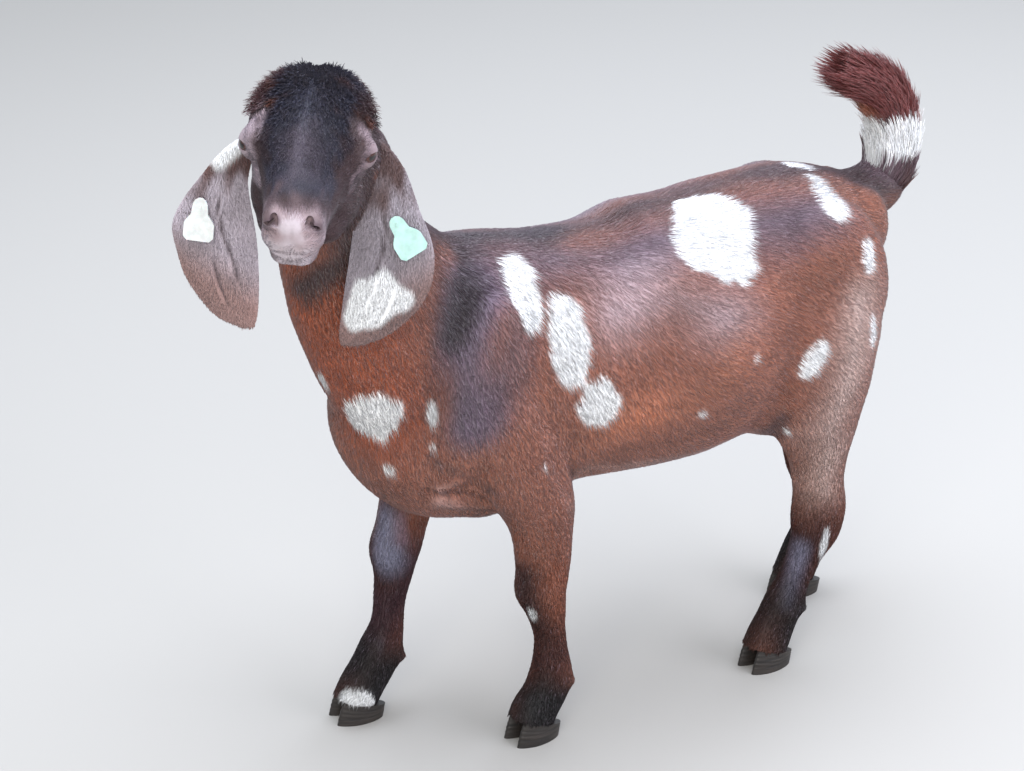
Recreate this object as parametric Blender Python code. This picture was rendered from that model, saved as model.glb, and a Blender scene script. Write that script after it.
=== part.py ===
"""A standing boer goat kid, life size, as a still museum model.

Metres, +Z up, nose towards -X, left side at -Y. The kid stands square on its near legs with the far foreleg
reached forward, tail up, head raised and turned to its left. The flesh is modelled whole from round forms
and parted with thin cuts into torso, neck, head, tail and leg nodes. Hooves, eyes, ears and ear tags are
pieces of their own.
"""

import math

import bmesh
import bpy
import numpy as np
from mathutils import Matrix, Vector
from mathutils.bvhtree import BVHTree

# Driving dimensions
GAP = 0.0003  # between touching pieces
VOXEL = 0.003  # grain of the whole flesh before it is thinned
FLESH_SMOOTHING = 9
FLESH_TRIANGLES = 4900
FINE_HEAD = 0.006  # how strongly the marked regions resist thinning
HEAD_REACH = 0.115  # from the middle of the eyes, the region that stays finest
LOW_LEG = 0.19  # height under which the legs stay finer than the trunk

HEAD_YAW = math.radians(57)  # turned to the kid's left
HEAD_PITCH = math.radians(4)  # nose below level
HEAD_ROLL = math.radians(5)  # left side down
EYES_MIDDLE = Vector((-0.311, -0.072, 0.590))
EYE_RADIUS = 0.0115
EYE_FORWARD = 0.003  # eye centre in the head's frame
EYE_SIDE = 0.0395
EYE_TURN = math.radians(56)  # the eye looks this far off straight ahead
EYE_GAP = 0.0005  # round the eyeball in its socket
LID_THICKNESS = 0.0012
MOUTH_DEPTH = 0.0011
LID_OPENING = (0.0092, 0.0058)  # half length and half height between the lids
OPENING_RINGS = ((0.45, 0.9), (1.05, 1.0), (2.4, 1.7))  # reach in eye radii, share of the opening
MOUTH_CORNER = math.radians(112)  # the corners of the mouth lie this far round from the front
MOUTH_CENTRE = (0.066, -0.0385)  # forward and up, from where the lips are found
MOUTH_FALL = 0.003  # from the middle of the lips to their sides
MOUTH_STEPS = 20
NOSTRIL_CENTRE = (0.0985, 0.0125, -0.0145)
NOSTRIL_SIZE = (0.0075, 0.0026, 0.0048)
NOSTRIL_TURN = math.radians(28)

EAR_THICKNESS = 0.0032
EAR_CUP = 0.10  # depth of the cup as a share of the width
EAR_ROOT_SWELL = (2.4, 2.4, 1.9, 1.4)  # the first rows are this much thicker

CORONET_MIDDLE = 0.0185  # height of the hoof's top under the middle of the foot
CORONET_SLOPE = math.radians(15)  # higher at the toe
CLAW_HALF_LENGTH = 0.0215
CLAW_HALF_WIDTH = 0.0088
CLAW_SPREAD = 0.0095  # claw middle from the foot's middle
CLAW_SIDES = 14
CLAW_TAPER = 0.30  # how much narrower it is at the toe
CLAW_INNER = 0.86  # the side towards the cleft is flatter
CLAW_RINGS = ((0.0, 1.0, 0.0), (0.5, 0.96, 0.0020), (1.0, 0.90, 0.0045))  # rise, size, set back

SHARP_ANGLE = math.radians(38)  # edges steeper than this stay sharp

TAG_HALF_WIDTH = 0.0118
TAG_DROP = 0.0268  # pin to the lower edge
TAG_NECK = 0.0060  # radius round the pin
TAG_THICKNESS = 0.0016
TAG_STAND = 0.0024  # clear of the ear at the pin
PIN_RADIUS = 0.0016
PIN_REACH = 0.012  # the hole is bored this far both ways
BUTTON_RADIUS = 0.0065

# Trunk: place along the body, spine height, underline height, half width, height share of the widest level
TRUNK = (
    (-0.244, 0.370, 0.320, 0.032, 0.50),
    (-0.229, 0.398, 0.281, 0.054, 0.46),
    (-0.208, 0.424, 0.245, 0.068, 0.45),
    (-0.182, 0.449, 0.216, 0.078, 0.45),
    (-0.150, 0.460, 0.203, 0.083, 0.47),
    (-0.105, 0.453, 0.208, 0.087, 0.48),
    (-0.055, 0.443, 0.221, 0.096, 0.47),
    (0.000, 0.445, 0.219, 0.105, 0.45),
    (0.050, 0.455, 0.216, 0.107, 0.46),
    (0.095, 0.461, 0.223, 0.098, 0.50),
    (0.140, 0.465, 0.248, 0.085, 0.54),
    (0.182, 0.462, 0.288, 0.076, 0.56),
    (0.215, 0.450, 0.325, 0.064, 0.56),
    (0.242, 0.432, 0.352, 0.046, 0.55),
)
# Neck: axis point, half width, reach towards the nape, reach towards the throat
NECK = (
    (-0.150, 0.000, 0.345, 0.062, 0.085, 0.100),
    (-0.192, -0.002, 0.388, 0.063, 0.081, 0.093),
    (-0.226, -0.008, 0.436, 0.056, 0.068, 0.080),
    (-0.250, -0.020, 0.486, 0.048, 0.053, 0.070),
    (-0.266, -0.034, 0.532, 0.045, 0.048, 0.060),
    (-0.276, -0.044, 0.566, 0.042, 0.044, 0.050),
)
# Legs: axis point, half width, reach forward, reach backward; the first rows lie inside the trunk
NEAR_FORELEG = (
    (-0.150, -0.058, 0.365, 0.026, 0.040, 0.050),
    (-0.142, -0.062, 0.315, 0.032, 0.046, 0.050),
    (-0.122, -0.064, 0.265, 0.029, 0.038, 0.042),
    (-0.106, -0.063, 0.232, 0.0245, 0.033, 0.033),
    (-0.100, -0.061, 0.200, 0.0210, 0.0285, 0.0270),
    (-0.099, -0.059, 0.168, 0.0190, 0.0250, 0.0245),
    (-0.100, -0.058, 0.148, 0.0195, 0.0245, 0.0240),
    (-0.096, -0.057, 0.127, 0.0160, 0.0175, 0.0190),
    (-0.091, -0.056, 0.100, 0.0130, 0.0140, 0.0155),
    (-0.090, -0.055, 0.080, 0.0135, 0.0150, 0.0175),
    (-0.089, -0.054, 0.061, 0.0170, 0.0180, 0.0215),
    (-0.094, -0.053, 0.042, 0.0175, 0.0195, 0.0220),
    (-0.102, -0.052, 0.026, 0.0190, 0.0215, 0.0205),
)
FAR_FORELEG = (
    (-0.158, 0.058, 0.365, 0.026, 0.040, 0.050),
    (-0.158, 0.062, 0.315, 0.032, 0.044, 0.052),
    (-0.152, 0.063, 0.265, 0.029, 0.038, 0.044),
    (-0.154, 0.062, 0.230, 0.0245, 0.032, 0.034),
    (-0.163, 0.060, 0.200, 0.0210, 0.0265, 0.0270),
    (-0.173, 0.058, 0.172, 0.0190, 0.0235, 0.0245),
    (-0.179, 0.057, 0.152, 0.0195, 0.0235, 0.0240),
    (-0.182, 0.056, 0.131, 0.0160, 0.0175, 0.0195),
    (-0.186, 0.056, 0.105, 0.0130, 0.0145, 0.0155),
    (-0.190, 0.055, 0.082, 0.0135, 0.0155, 0.0170),
    (-0.196, 0.055, 0.061, 0.0170, 0.0190, 0.0215),
    (-0.207, 0.054, 0.042, 0.0175, 0.0205, 0.0220),
    (-0.217, 0.054, 0.026, 0.0190, 0.0215, 0.0205),
)
NEAR_HINDLEG = (
    (0.160, -0.048, 0.390, 0.034, 0.060, 0.068),
    (0.165, -0.056, 0.335, 0.040, 0.070, 0.076),
    (0.170, -0.061, 0.285, 0.036, 0.060, 0.064),
    (0.176, -0.062, 0.243, 0.029, 0.045, 0.047),
    (0.182, -0.060, 0.208, 0.0225, 0.0320, 0.0300),
    (0.184, -0.058, 0.178, 0.0185, 0.0265, 0.0250),
    (0.187, -0.056, 0.150, 0.0185, 0.0280, 0.0270),
    (0.186, -0.055, 0.128, 0.0175, 0.0265, 0.0280),
    (0.176, -0.054, 0.104, 0.0145, 0.0180, 0.0185),
    (0.166, -0.053, 0.082, 0.0140, 0.0160, 0.0175),
    (0.156, -0.053, 0.062, 0.0168, 0.0180, 0.0205),
    (0.148, -0.052, 0.043, 0.0172, 0.0190, 0.0215),
    (0.141, -0.052, 0.026, 0.0188, 0.0215, 0.0205),
)
FAR_HINDLEG = (
    (0.166, 0.048, 0.390, 0.034, 0.060, 0.068),
    (0.178, 0.056, 0.335, 0.040, 0.068, 0.070),
    (0.196, 0.060, 0.285, 0.036, 0.058, 0.056),
    (0.214, 0.060, 0.243, 0.029, 0.044, 0.043),
    (0.230, 0.058, 0.208, 0.0225, 0.0310, 0.0290),
    (0.242, 0.055, 0.178, 0.0185, 0.0260, 0.0240),
    (0.252, 0.052, 0.150, 0.0185, 0.0270, 0.0265),
    (0.255, 0.050, 0.128, 0.0175, 0.0260, 0.0275),
    (0.255, 0.049, 0.104, 0.0145, 0.0175, 0.0185),
    (0.256, 0.048, 0.082, 0.0140, 0.0165, 0.0175),
    (0.256, 0.047, 0.062, 0.0168, 0.0190, 0.0205),
    (0.248, 0.046, 0.043, 0.0172, 0.0200, 0.0215),
    (0.241, 0.046, 0.026, 0.0188, 0.0215, 0.0205),
)
LEGS = {
    "foreleg_left": NEAR_FORELEG,
    "foreleg_right": FAR_FORELEG,
    "hindleg_left": NEAR_HINDLEG,
    "hindleg_right": FAR_HINDLEG,
}
# Zone of each leg that is parted from the trunk: middle along and across, half length, half width, top
LEG_ZONES = {
    "foreleg_left": (-0.122, -0.082, 0.064, 0.050, 0.292),
    "foreleg_right": (-0.172, 0.082, 0.088, 0.050, 0.292),
    "hindleg_left": (0.172, -0.080, 0.080, 0.056, 0.320),
    "hindleg_right": (0.206, 0.080, 0.094, 0.056, 0.320),
}
ZONE_FOOT = (-0.05, 0.16)  # heights of a zone's upright part
ZONE_DOME = ((0.045, 1.0), (0.020, 0.92), (0.006, 0.72))  # below its top, share of its size
# Ears, hanging from their roots: drop, middle outwards, half width, lift off the neck
EAR_LEFT = (
    (-0.006, -0.020, 0.0085, -0.010),
    (0.000, -0.009, 0.0100, -0.004),
    (0.011, 0.0025, 0.0130, 0.004),
    (0.026, 0.0060, 0.0197, 0.012),
    (0.051, 0.0095, 0.0253, 0.020),
    (0.071, 0.0125, 0.0303, 0.024),
    (0.090, 0.0125, 0.0330, 0.026),
    (0.111, 0.0090, 0.0330, 0.027),
    (0.131, 0.0020, 0.0290, 0.027),
    (0.151, -0.0100, 0.0195, 0.026),
    (0.160, -0.0190, 0.0095, 0.025),
)
EAR_RIGHT = (
    (0.000, -0.020, 0.0085, -0.010),
    (0.006, -0.008, 0.0110, -0.004),
    (0.0180, 0.0100, 0.0135, 0.003),
    (0.0380, 0.0225, 0.0185, 0.006),
    (0.0570, 0.0295, 0.0262, 0.008),
    (0.0760, 0.0325, 0.0317, 0.009),
    (0.0950, 0.0305, 0.0315, 0.010),
    (0.1200, 0.0272, 0.0285, 0.010),
    (0.1430, 0.0210, 0.0210, 0.010),
    (0.1540, 0.0165, 0.0150, 0.010),
    (0.1620, 0.0100, 0.0060, 0.010),
)
EAR_ROOT = (-0.037, 0.046, -0.006)  # in the head's frame, mirrored for the right ear
EAR_FACES = math.radians(30)  # the broad side looks this far from the left towards the front
# Ear tags: share of the ear's half width, drop of the pin, lean of the tag outwards
TAGS = {"left": (0.24, 0.060, math.radians(30)), "right": (0.38, 0.059, math.radians(4))}
# Middle of each foot on the ground, along and across, and the way its toes point, in degrees left of -X
FEET = {
    "foreleg_left": (-0.106, -0.052, 6),
    "foreleg_right": (-0.222, 0.054, -4),
    "hindleg_left": (0.137, -0.052, 6),
    "hindleg_right": (0.237, 0.046, -4),
}
# Head, in its own frame from the middle of the eyes
# forward, crown height, jaw depth, half width, widest share
HEAD = (
    (-0.074, 0.018, -0.036, 0.030, 0.5),
    (-0.062, 0.033, -0.052, 0.041, 0.55),
    (-0.042, 0.042, -0.061, 0.0470, 0.6),
    (-0.020, 0.0425, -0.064, 0.0478, 0.6),
    (0.000, 0.0390, -0.064, 0.0455, 0.6),
    (0.018, 0.0330, -0.062, 0.0395, 0.58),
    (0.036, 0.0255, -0.059, 0.0320, 0.55),
    (0.054, 0.0170, -0.0575, 0.0265, 0.52),
    (0.070, 0.0085, -0.0575, 0.0242, 0.50),
    (0.084, 0.0005, -0.0560, 0.0228, 0.48),
    (0.095, -0.0080, -0.0500, 0.0190, 0.46),
)
# Round masses in the head's frame: centre (the side one is mirrored), half sizes
HEAD_MASSES = (
    ((0.004, 0.0335, 0.003), (0.022, 0.0150, 0.0165)),  # bony rim of the eye
    ((-0.004, 0.0235, -0.037), (0.042, 0.0185, 0.029)),  # cheek
    ((0.020, 0.0170, -0.048), (0.034, 0.0185, 0.0155)),  # jaw
    ((0.086, 0.0125, -0.016), (0.0150, 0.0105, 0.0110)),  # wing of the nostril
    ((0.085, 0.0110, -0.0310), (0.0175, 0.0120, 0.0100)),  # upper lip
    ((0.074, 0.0060, -0.0500), (0.0180, 0.0130, 0.0100)),  # chin
    ((-0.030, 0.015, 0.0295), (0.0240, 0.0170, 0.0140)),  # boss over the horn bud
)
# Round masses of the body: centre, half sizes, lean about the side-to-side axis in degrees
BODY_MASSES = (
    ((-0.158, -0.052, 0.345), (0.052, 0.036, 0.088), 18),  # near shoulder
    ((-0.162, 0.052, 0.345), (0.052, 0.036, 0.088), 18),  # far shoulder
    ((-0.198, -0.022, 0.316), (0.038, 0.038, 0.058), 24),  # breast, near side
    ((-0.198, 0.022, 0.316), (0.038, 0.038, 0.058), 24),  # breast, far side
    ((0.180, -0.048, 0.355), (0.070, 0.042, 0.088), -6),  # near thigh
    ((0.186, 0.048, 0.355), (0.068, 0.042, 0.088), -8),  # far thigh
    ((0.126, -0.054, 0.288), (0.046, 0.030, 0.056), -24),  # near stifle
    ((0.150, 0.054, 0.300), (0.046, 0.030, 0.052), -26),  # far stifle
    ((0.236, -0.026, 0.395), (0.029, 0.025, 0.040), 0),  # near pin bone
    ((0.236, 0.026, 0.395), (0.029, 0.025, 0.040), 0),  # far pin bone
    ((0.220, -0.036, 0.345), (0.032, 0.028, 0.056), 6),  # near buttock
    ((0.220, 0.036, 0.345), (0.032, 0.028, 0.056), 6),  # far buttock
)
DEWCLAW_SIZE = (0.0045, 0.0050, 0.0065)
DEWCLAW_SPREAD = 0.0085
# Tail under its hair: axis point, half width, half depth
TAIL = (
    (0.205, 0.0, 0.425, 0.030, 0.022),
    (0.247, 0.0, 0.413, 0.027, 0.024),
    (0.277, 0.0, 0.422, 0.025, 0.024),
    (0.288, 0.0, 0.448, 0.021, 0.019),
    (0.289, 0.0, 0.473, 0.017, 0.016),
    (0.280, 0.0, 0.498, 0.014, 0.013),
    (0.258, 0.0, 0.518, 0.008, 0.008),
)
# Rings of tail locks: place along the tail's axis (share), locks in the ring, length, lift from the tail
TAIL_LOCKS = (
    (0.44, 7, 0.026, 0.32),
    (0.55, 8, 0.029, 0.42),
    (0.66, 8, 0.031, 0.48),
    (0.77, 8, 0.034, 0.50),
    (0.87, 8, 0.037, 0.46),
    (0.96, 6, 0.038, 0.28),
)
TAIL_CURL = Vector((-0.36, 0.0, 0.07))  # how the tips of the brush bend forward
# Rows of crown locks: forward place, locks in the row, half spread sideways
CROWN_LOCKS = (
    (-0.056, 4, 0.020),
    (-0.044, 5, 0.030),
    (-0.032, 5, 0.030),
    (-0.020, 4, 0.022),
    (-0.008, 3, 0.012),
)
CROWN_LOCK_LENGTH = 0.016
LOCK_HALF_WIDTH = 0.0052
LOCK_HALF_DEPTH = 0.0022
LOCK_ROOT = 0.0045  # how deep a lock's root is sunk
LOCK_RINGS = ((0.0, 0.75), (0.25, 1.0), (0.62, 0.8))  # share of the length, share of the width
TAIL_LOCK_SIZE = 1.3  # tail and crown locks are this much wider than the plain lock
CROWN_LOCK_SIZE = 1.2


def clear_scene():
    for obj in list(bpy.data.objects):
        bpy.data.objects.remove(obj)


def material(name, colour, roughness, metallic=0.0):
    made = bpy.data.materials.new(name)
    made.use_nodes = True
    shader = made.node_tree.nodes["Principled BSDF"]
    shader.inputs["Base Color"].default_value = (*colour, 1.0)
    shader.inputs["Roughness"].default_value = roughness
    shader.inputs["Metallic"].default_value = metallic
    return made


def spline(rows, steps):
    """Rows between the given ones on a Catmull-Rom curve, every column alike."""
    rows = np.array(rows, float)
    ends = np.vstack([2 * rows[0] - rows[1], rows, 2 * rows[-1] - rows[-2]])
    found = []
    for a, b, c, d in zip(ends, ends[1:], ends[2:], ends[3:]):
        for t in np.arange(steps) / steps:
            found.append(
                b + 0.5 * t * ((c - a) + t * ((2 * a - 5 * b + 4 * c - d) + t * (3 * b - a - 3 * c + d)))
            )
    return np.array(found + [rows[-1]])


def skin_rings(shape, rings):
    """Closes a row of rings of points into one round body, with a point at each end."""
    rows = [[shape.verts.new(p) for p in ring] for ring in rings]
    count = len(rows[0])
    for near, far in zip(rows, rows[1:]):
        for i in range(count):
            j = (i + 1) % count
            shape.faces.new((near[i], near[j], far[j], far[i]))
    for row, turn in ((rows[0], -1), (rows[-1], 1)):
        middle = shape.verts.new(sum((v.co for v in row), Vector()) / count)
        for i in range(count):
            corners = (row[i], row[(i + 1) % count], middle)
            shape.faces.new(corners[::turn])


def squared(value, power):
    """Bends a sine or cosine so that a ring of them grows squarer as the power falls below one."""
    return math.copysign(abs(value) ** power, value)


def loft(shape, rows, up, sides=20, steps=4, square=1.0):
    """A closed tube through rows of (x, y, z, half width, reach up, reach down), with round ends."""
    rows = spline(rows, steps)
    points = rows[:, :3]
    along = np.gradient(points, axis=0)
    rings = []
    round_off = [math.radians(a) for a in (75, 50, 25)]
    for n, (row, way) in enumerate(zip(rows, along)):
        way = Vector(way).normalized()
        side = way.cross(Vector(up)).normalized()
        top = side.cross(way)
        wide, above, below = row[3:6]
        turns = [0.0]
        if n == 0:
            turns = [-a for a in round_off] + turns
        if n == len(rows) - 1:
            turns = turns + [a for a in reversed(round_off)]
        reach = 0.5 * min(wide, above + below)
        for turn in turns:
            size = math.cos(turn)
            centre = Vector(row[:3]) + way * (reach * math.sin(turn))
            ring = []
            for i in range(sides):
                a = 2 * math.pi * i / sides
                across = wide * size * squared(math.cos(a), square)
                lift = squared(math.sin(a), square)
                ring.append(centre + side * across + top * ((above if lift > 0 else below) * size * lift))
            rings.append(ring)
    skin_rings(shape, rings)


def section_rows(stations, place):
    """Loft rows from (along, top, bottom, half width, share of the widest level), set by place."""
    rows = []
    for along, top, bottom, wide, share in stations:
        level = bottom + (top - bottom) * share
        rows.append((*place(along, level), wide, top - level, level - bottom))
    return rows


def ball(shape, centre, sizes, turn=None, detail=16):
    """A round mass with three half sizes, turned by a matrix."""
    turned = (turn or Matrix.Identity(3)).to_4x4()
    matrix = Matrix.Translation(centre) @ turned @ Matrix.Diagonal((*sizes, 1.0))
    bmesh.ops.create_uvsphere(shape, u_segments=detail, v_segments=detail // 2 + 2, radius=1.0, matrix=matrix)


def head_axes():
    """The head's forward, left and up directions."""
    forward = Vector((
        -math.cos(HEAD_YAW) * math.cos(HEAD_PITCH),
        -math.sin(HEAD_YAW) * math.cos(HEAD_PITCH),
        -math.sin(HEAD_PITCH),
    ))
    left = Vector((0, 0, 1)).cross(forward).normalized()
    left.rotate(Matrix.Rotation(-HEAD_ROLL, 3, forward))
    return forward, left, forward.cross(left)


FORWARD, LEFT, UP = head_axes()
HEAD_TURN = Matrix((FORWARD, LEFT, UP)).transposed()


def on_head(forward, left, up):
    """A place given in the head's frame."""
    return EYES_MIDDLE + FORWARD * forward + LEFT * left + UP * up


def finished(shape, name):
    """A mesh object from a bmesh, with its faces pointing out."""
    bmesh.ops.recalc_face_normals(shape, faces=shape.faces)
    mesh = bpy.data.meshes.new(name)
    shape.to_mesh(mesh)
    shape.free()
    obj = bpy.data.objects.new(name, mesh)
    bpy.context.scene.collection.objects.link(obj)
    return obj


def applied(obj):
    """Turns the evaluated mesh of an object into its own mesh and drops its modifiers."""
    bpy.context.view_layer.update()
    graph = bpy.context.evaluated_depsgraph_get()
    mesh = bpy.data.meshes.new_from_object(obj.evaluated_get(graph), depsgraph=graph)
    obj.modifiers.clear()
    obj.data = mesh
    return obj


def loose_parts(obj):
    """The object's closed surfaces as lists of faces, largest volume first."""
    shape = bmesh.new()
    shape.from_mesh(obj.data)
    shape.verts.ensure_lookup_table()
    group = [-1] * len(shape.verts)
    count = 0
    for start in shape.verts:
        if group[start.index] >= 0:
            continue
        group[start.index] = count
        waiting = [start]
        while waiting:
            for edge in waiting.pop().link_edges:
                for v in edge.verts:
                    if group[v.index] < 0:
                        group[v.index] = count
                        waiting.append(v)
        count += 1
    made = []
    for n in range(count):
        piece = shape.copy()
        piece.verts.ensure_lookup_table()
        bmesh.ops.delete(piece, geom=[v for v in piece.verts if group[v.index] != n], context="VERTS")
        made.append(piece)
    shape.free()
    return sorted(made, key=lambda piece: -abs(piece.calc_volume()))


def keep_largest(obj):
    """Keeps only the largest closed surface of an object."""
    pieces = loose_parts(obj)
    if len(pieces) > 1:
        pieces[0].to_mesh(obj.data)
    for piece in pieces:
        piece.free()
    return obj


def boolean(obj, tools, operation, solver="EXACT"):
    """Joins or cuts an object with other mesh objects, applies it and removes them."""
    group = bpy.data.collections.new("tools")
    bpy.context.scene.collection.children.link(group)
    for tool in tools:
        bpy.context.scene.collection.objects.unlink(tool)
        group.objects.link(tool)
    change = obj.modifiers.new(operation.lower(), "BOOLEAN")
    change.operation = operation
    change.solver = solver
    change.operand_type = "COLLECTION"
    change.collection = group
    applied(obj)
    for tool in tools:
        bpy.data.objects.remove(tool)
    bpy.data.collections.remove(group)
    return obj


def flesh():
    """The whole kid without ears, eyes and hooves, as one smooth skin thinned to few faces."""
    shape = bmesh.new()
    loft(shape, section_rows(TRUNK, lambda x, z: (x, 0.0, z)), up=(0, 0, 1), sides=32)
    loft(shape, NECK, up=(1, 0.3, 0.4), sides=28)
    for rows in LEGS.values():
        *_, fetlock, _, last = rows
        ground = (last[0] - 0.008, last[1], 0.008, *last[3:])
        loft(shape, (*rows, ground), up=(-1, 0, 0))
        for side in (DEWCLAW_SPREAD, -DEWCLAW_SPREAD):
            heel = fetlock[0] + 0.8 * fetlock[5]
            ball(shape, (heel, fetlock[1] + side, fetlock[2] - 0.010), DEWCLAW_SIZE, detail=10)
    for centre, sizes, lean in BODY_MASSES:
        ball(shape, centre, sizes, Matrix.Rotation(math.radians(lean), 3, "Y"), detail=24)
    loft(shape, [(x, y, z, wide, deep, deep) for x, y, z, wide, deep in TAIL], up=(-1, 0, 1))
    head_rows = section_rows(HEAD, lambda along, height: on_head(along, 0.0, height))
    loft(shape, head_rows, up=UP, sides=28)
    for (along, out, height), sizes in HEAD_MASSES:
        for side in (1, -1):
            ball(shape, on_head(along, side * out, height), sizes, HEAD_TURN, detail=16)
    body = finished(shape, "flesh")
    grain = body.modifiers.new("grain", "REMESH")
    grain.mode = "VOXEL"
    grain.voxel_size = VOXEL
    smooth = body.modifiers.new("smooth", "SMOOTH")
    smooth.factor = 0.5
    smooth.iterations = FLESH_SMOOTHING
    keep_largest(applied(body))
    weigh_for_thinning(body)
    thin = body.modifiers.new("thin", "DECIMATE")
    thin.ratio = FLESH_TRIANGLES / (2 * len(body.data.polygons))
    thin.vertex_group = "coarse"
    thin.vertex_group_factor = FINE_HEAD
    return applied(body)


def weigh_for_thinning(body):
    """Marks how far each region may be thinned: the trunk most, the head least."""
    group = body.vertex_groups.new(name="coarse")
    for v in body.data.vertices:
        reach = (v.co - EYES_MIDDLE).length
        if reach < HEAD_REACH:
            weight = 0.5
        elif v.co.z < LOW_LEG:
            weight = 0.8
        else:
            weight = 1.0
        group.add([v.index], weight, "REPLACE")


def plate(centre, normal, size):
    """A thin square cutter as thick as the gap."""
    shape = bmesh.new()
    turn = Vector(normal).to_track_quat("Z", "Y").to_matrix().to_4x4()
    matrix = Matrix.Translation(centre) @ turn @ Matrix.Diagonal((size, size, GAP, 1.0))
    bmesh.ops.create_cube(shape, size=1.0, matrix=matrix)
    return finished(shape, "cut")


def copied(obj, name):
    twin = bpy.data.objects.new(name, obj.data.copy())
    bpy.context.scene.collection.objects.link(twin)
    return twin


def swollen(obj, amount):
    """A copy of an object that stands off from it all round."""
    twin = copied(obj, "swollen")
    normals = [v.normal.copy() for v in twin.data.vertices]
    for v, normal in zip(twin.data.vertices, normals):
        v.co += normal * amount
    return twin


def leg_zone(name, extra=0.0):
    """An upright block with a domed top that takes in one leg."""
    along, across, long, wide, top = LEG_ZONES[name]
    rows = []
    levels = [(height, 1.0) for height in ZONE_FOOT] + [(top - under, size) for under, size in ZONE_DOME]
    for height, size in levels:
        depth = long * size + extra
        rows.append((along, across, height + extra, wide * size + extra, depth, depth))
    shape = bmesh.new()
    loft(shape, rows, up=(-1, 0, 0), sides=24, steps=2, square=0.75)
    return finished(shape, "zone")


def flat_end(obj, point, normal):
    """Cuts an object off flat beyond a plane and closes the cut."""
    shape = bmesh.new()
    shape.from_mesh(obj.data)
    whole = shape.verts[:] + shape.edges[:] + shape.faces[:]
    cut = bmesh.ops.bisect_plane(shape, geom=whole, plane_co=point, plane_no=normal, clear_outer=True)
    rim = [e for e in cut["geom_cut"] if isinstance(e, bmesh.types.BMEdge)]
    bmesh.ops.contextual_create(shape, geom=rim)
    bmesh.ops.recalc_face_normals(shape, faces=shape.faces)
    shape.to_mesh(obj.data)
    shape.free()


def foot_ways(name):
    """The foot's toe direction, its left direction and the down direction square to the coronet."""
    toe = Vector((-1, 0, 0))
    toe.rotate(Matrix.Rotation(math.radians(FEET[name][2]), 3, "Z"))
    left = Vector((0, 0, 1)).cross(toe)
    down = Vector((0, 0, -1))
    down.rotate(Matrix.Rotation(-CORONET_SLOPE, 3, left))
    return toe, left, down


def claw(name, side):
    """One hoof claw: flat sole, sloping toe wall, top on the slanting coronet."""
    along, across, _ = FEET[name]
    toe, left, down = foot_ways(name)
    middle = Vector((along, across, 0.0)) + left * (side * CLAW_SPREAD)
    coronet = Vector((along, across, CORONET_MIDDLE)) + down * GAP
    rings = []
    for rise, size, back in CLAW_RINGS:
        ring = []
        for i in range(CLAW_SIDES):
            a = 2 * math.pi * i / CLAW_SIDES
            reach = CLAW_HALF_LENGTH * size * math.cos(a)
            narrow = 1.0 - CLAW_TAPER * max(0.0, math.cos(a)) ** 2
            out = CLAW_HALF_WIDTH * size * narrow * math.sin(a)
            if out * side < 0:
                out *= CLAW_INNER
            spot = middle + toe * (reach - back) + left * out
            top = coronet.z - ((spot - coronet).dot(down) - (spot.z - coronet.z) * down.z) / down.z
            spot.z = rise * top
            ring.append(spot)
        rings.append(ring)
    shape = bmesh.new()
    rows = [[shape.verts.new(p) for p in ring] for ring in rings]
    for near, far in zip(rows, rows[1:]):
        for i in range(CLAW_SIDES):
            j = (i + 1) % CLAW_SIDES
            shape.faces.new((near[i], near[j], far[j], far[i]))
    shape.faces.new(rows[0])
    shape.faces.new(rows[-1])
    bmesh.ops.triangulate(shape, faces=[f for f in shape.faces if len(f.verts) > 4])
    return finished(shape, "hoof")


def lock(root, way, bend, across, length, size=1.0):
    """A flat tapered lock that leaves its root along a way and bends; it has a pointed tip."""
    shape = bmesh.new()
    rings = []
    for share, wide in LOCK_RINGS:
        reach = length * share if share else -LOCK_ROOT
        middle = root + way * reach + bend * (length * share**2)
        heading = (way + bend * (2 * share)).normalized()
        side = (across - heading * across.dot(heading)).normalized()
        top = heading.cross(side)
        half, deep = LOCK_HALF_WIDTH * wide * size, LOCK_HALF_DEPTH * wide * size
        rings.append([middle + side * half, middle + top * deep, middle - side * half, middle - top * deep])
    rows = [[shape.verts.new(p) for p in ring] for ring in rings]
    tip = shape.verts.new(root + way * length + bend * length)
    for near, far in zip(rows, rows[1:]):
        for i in range(4):
            shape.faces.new((near[i], near[(i + 1) % 4], far[(i + 1) % 4], far[i]))
    for i in range(4):
        shape.faces.new((rows[-1][i], rows[-1][(i + 1) % 4], tip))
    shape.faces.new(rows[0])
    return finished(shape, "lock")


def tail_locks():
    """The brush: rings of locks that leave the tail towards its tip and curl forward."""
    rows = spline(TAIL, 8)
    made = []
    for n, (share, count, length, lift) in enumerate(TAIL_LOCKS):
        spot = round(share * (len(rows) - 1))
        row = rows[spot]
        ahead = Vector(rows[min(spot + 1, len(rows) - 1)][:3]) - Vector(rows[spot - 1][:3])
        ahead.normalize()
        side = Vector((0, 1, 0))
        outer = side.cross(ahead)
        for i in range(count):
            a = 2 * math.pi * (i + 0.5 * (n % 2)) / count
            radial = side * math.cos(a) + outer * math.sin(a)
            surface = Vector(row[:3]) + side * (row[3] * math.cos(a)) + outer * (row[4] * math.sin(a))
            reach = length * (1.0 + 0.16 * math.sin(5.3 * i + 2.1 * n))
            way = (ahead + radial * lift).normalized()
            bend = TAIL_CURL * (0.35 + 0.65 * share) - radial * (0.25 * lift)
            made.append(lock(surface, way, bend, radial.cross(ahead), reach, TAIL_LOCK_SIZE))
    return made


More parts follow.
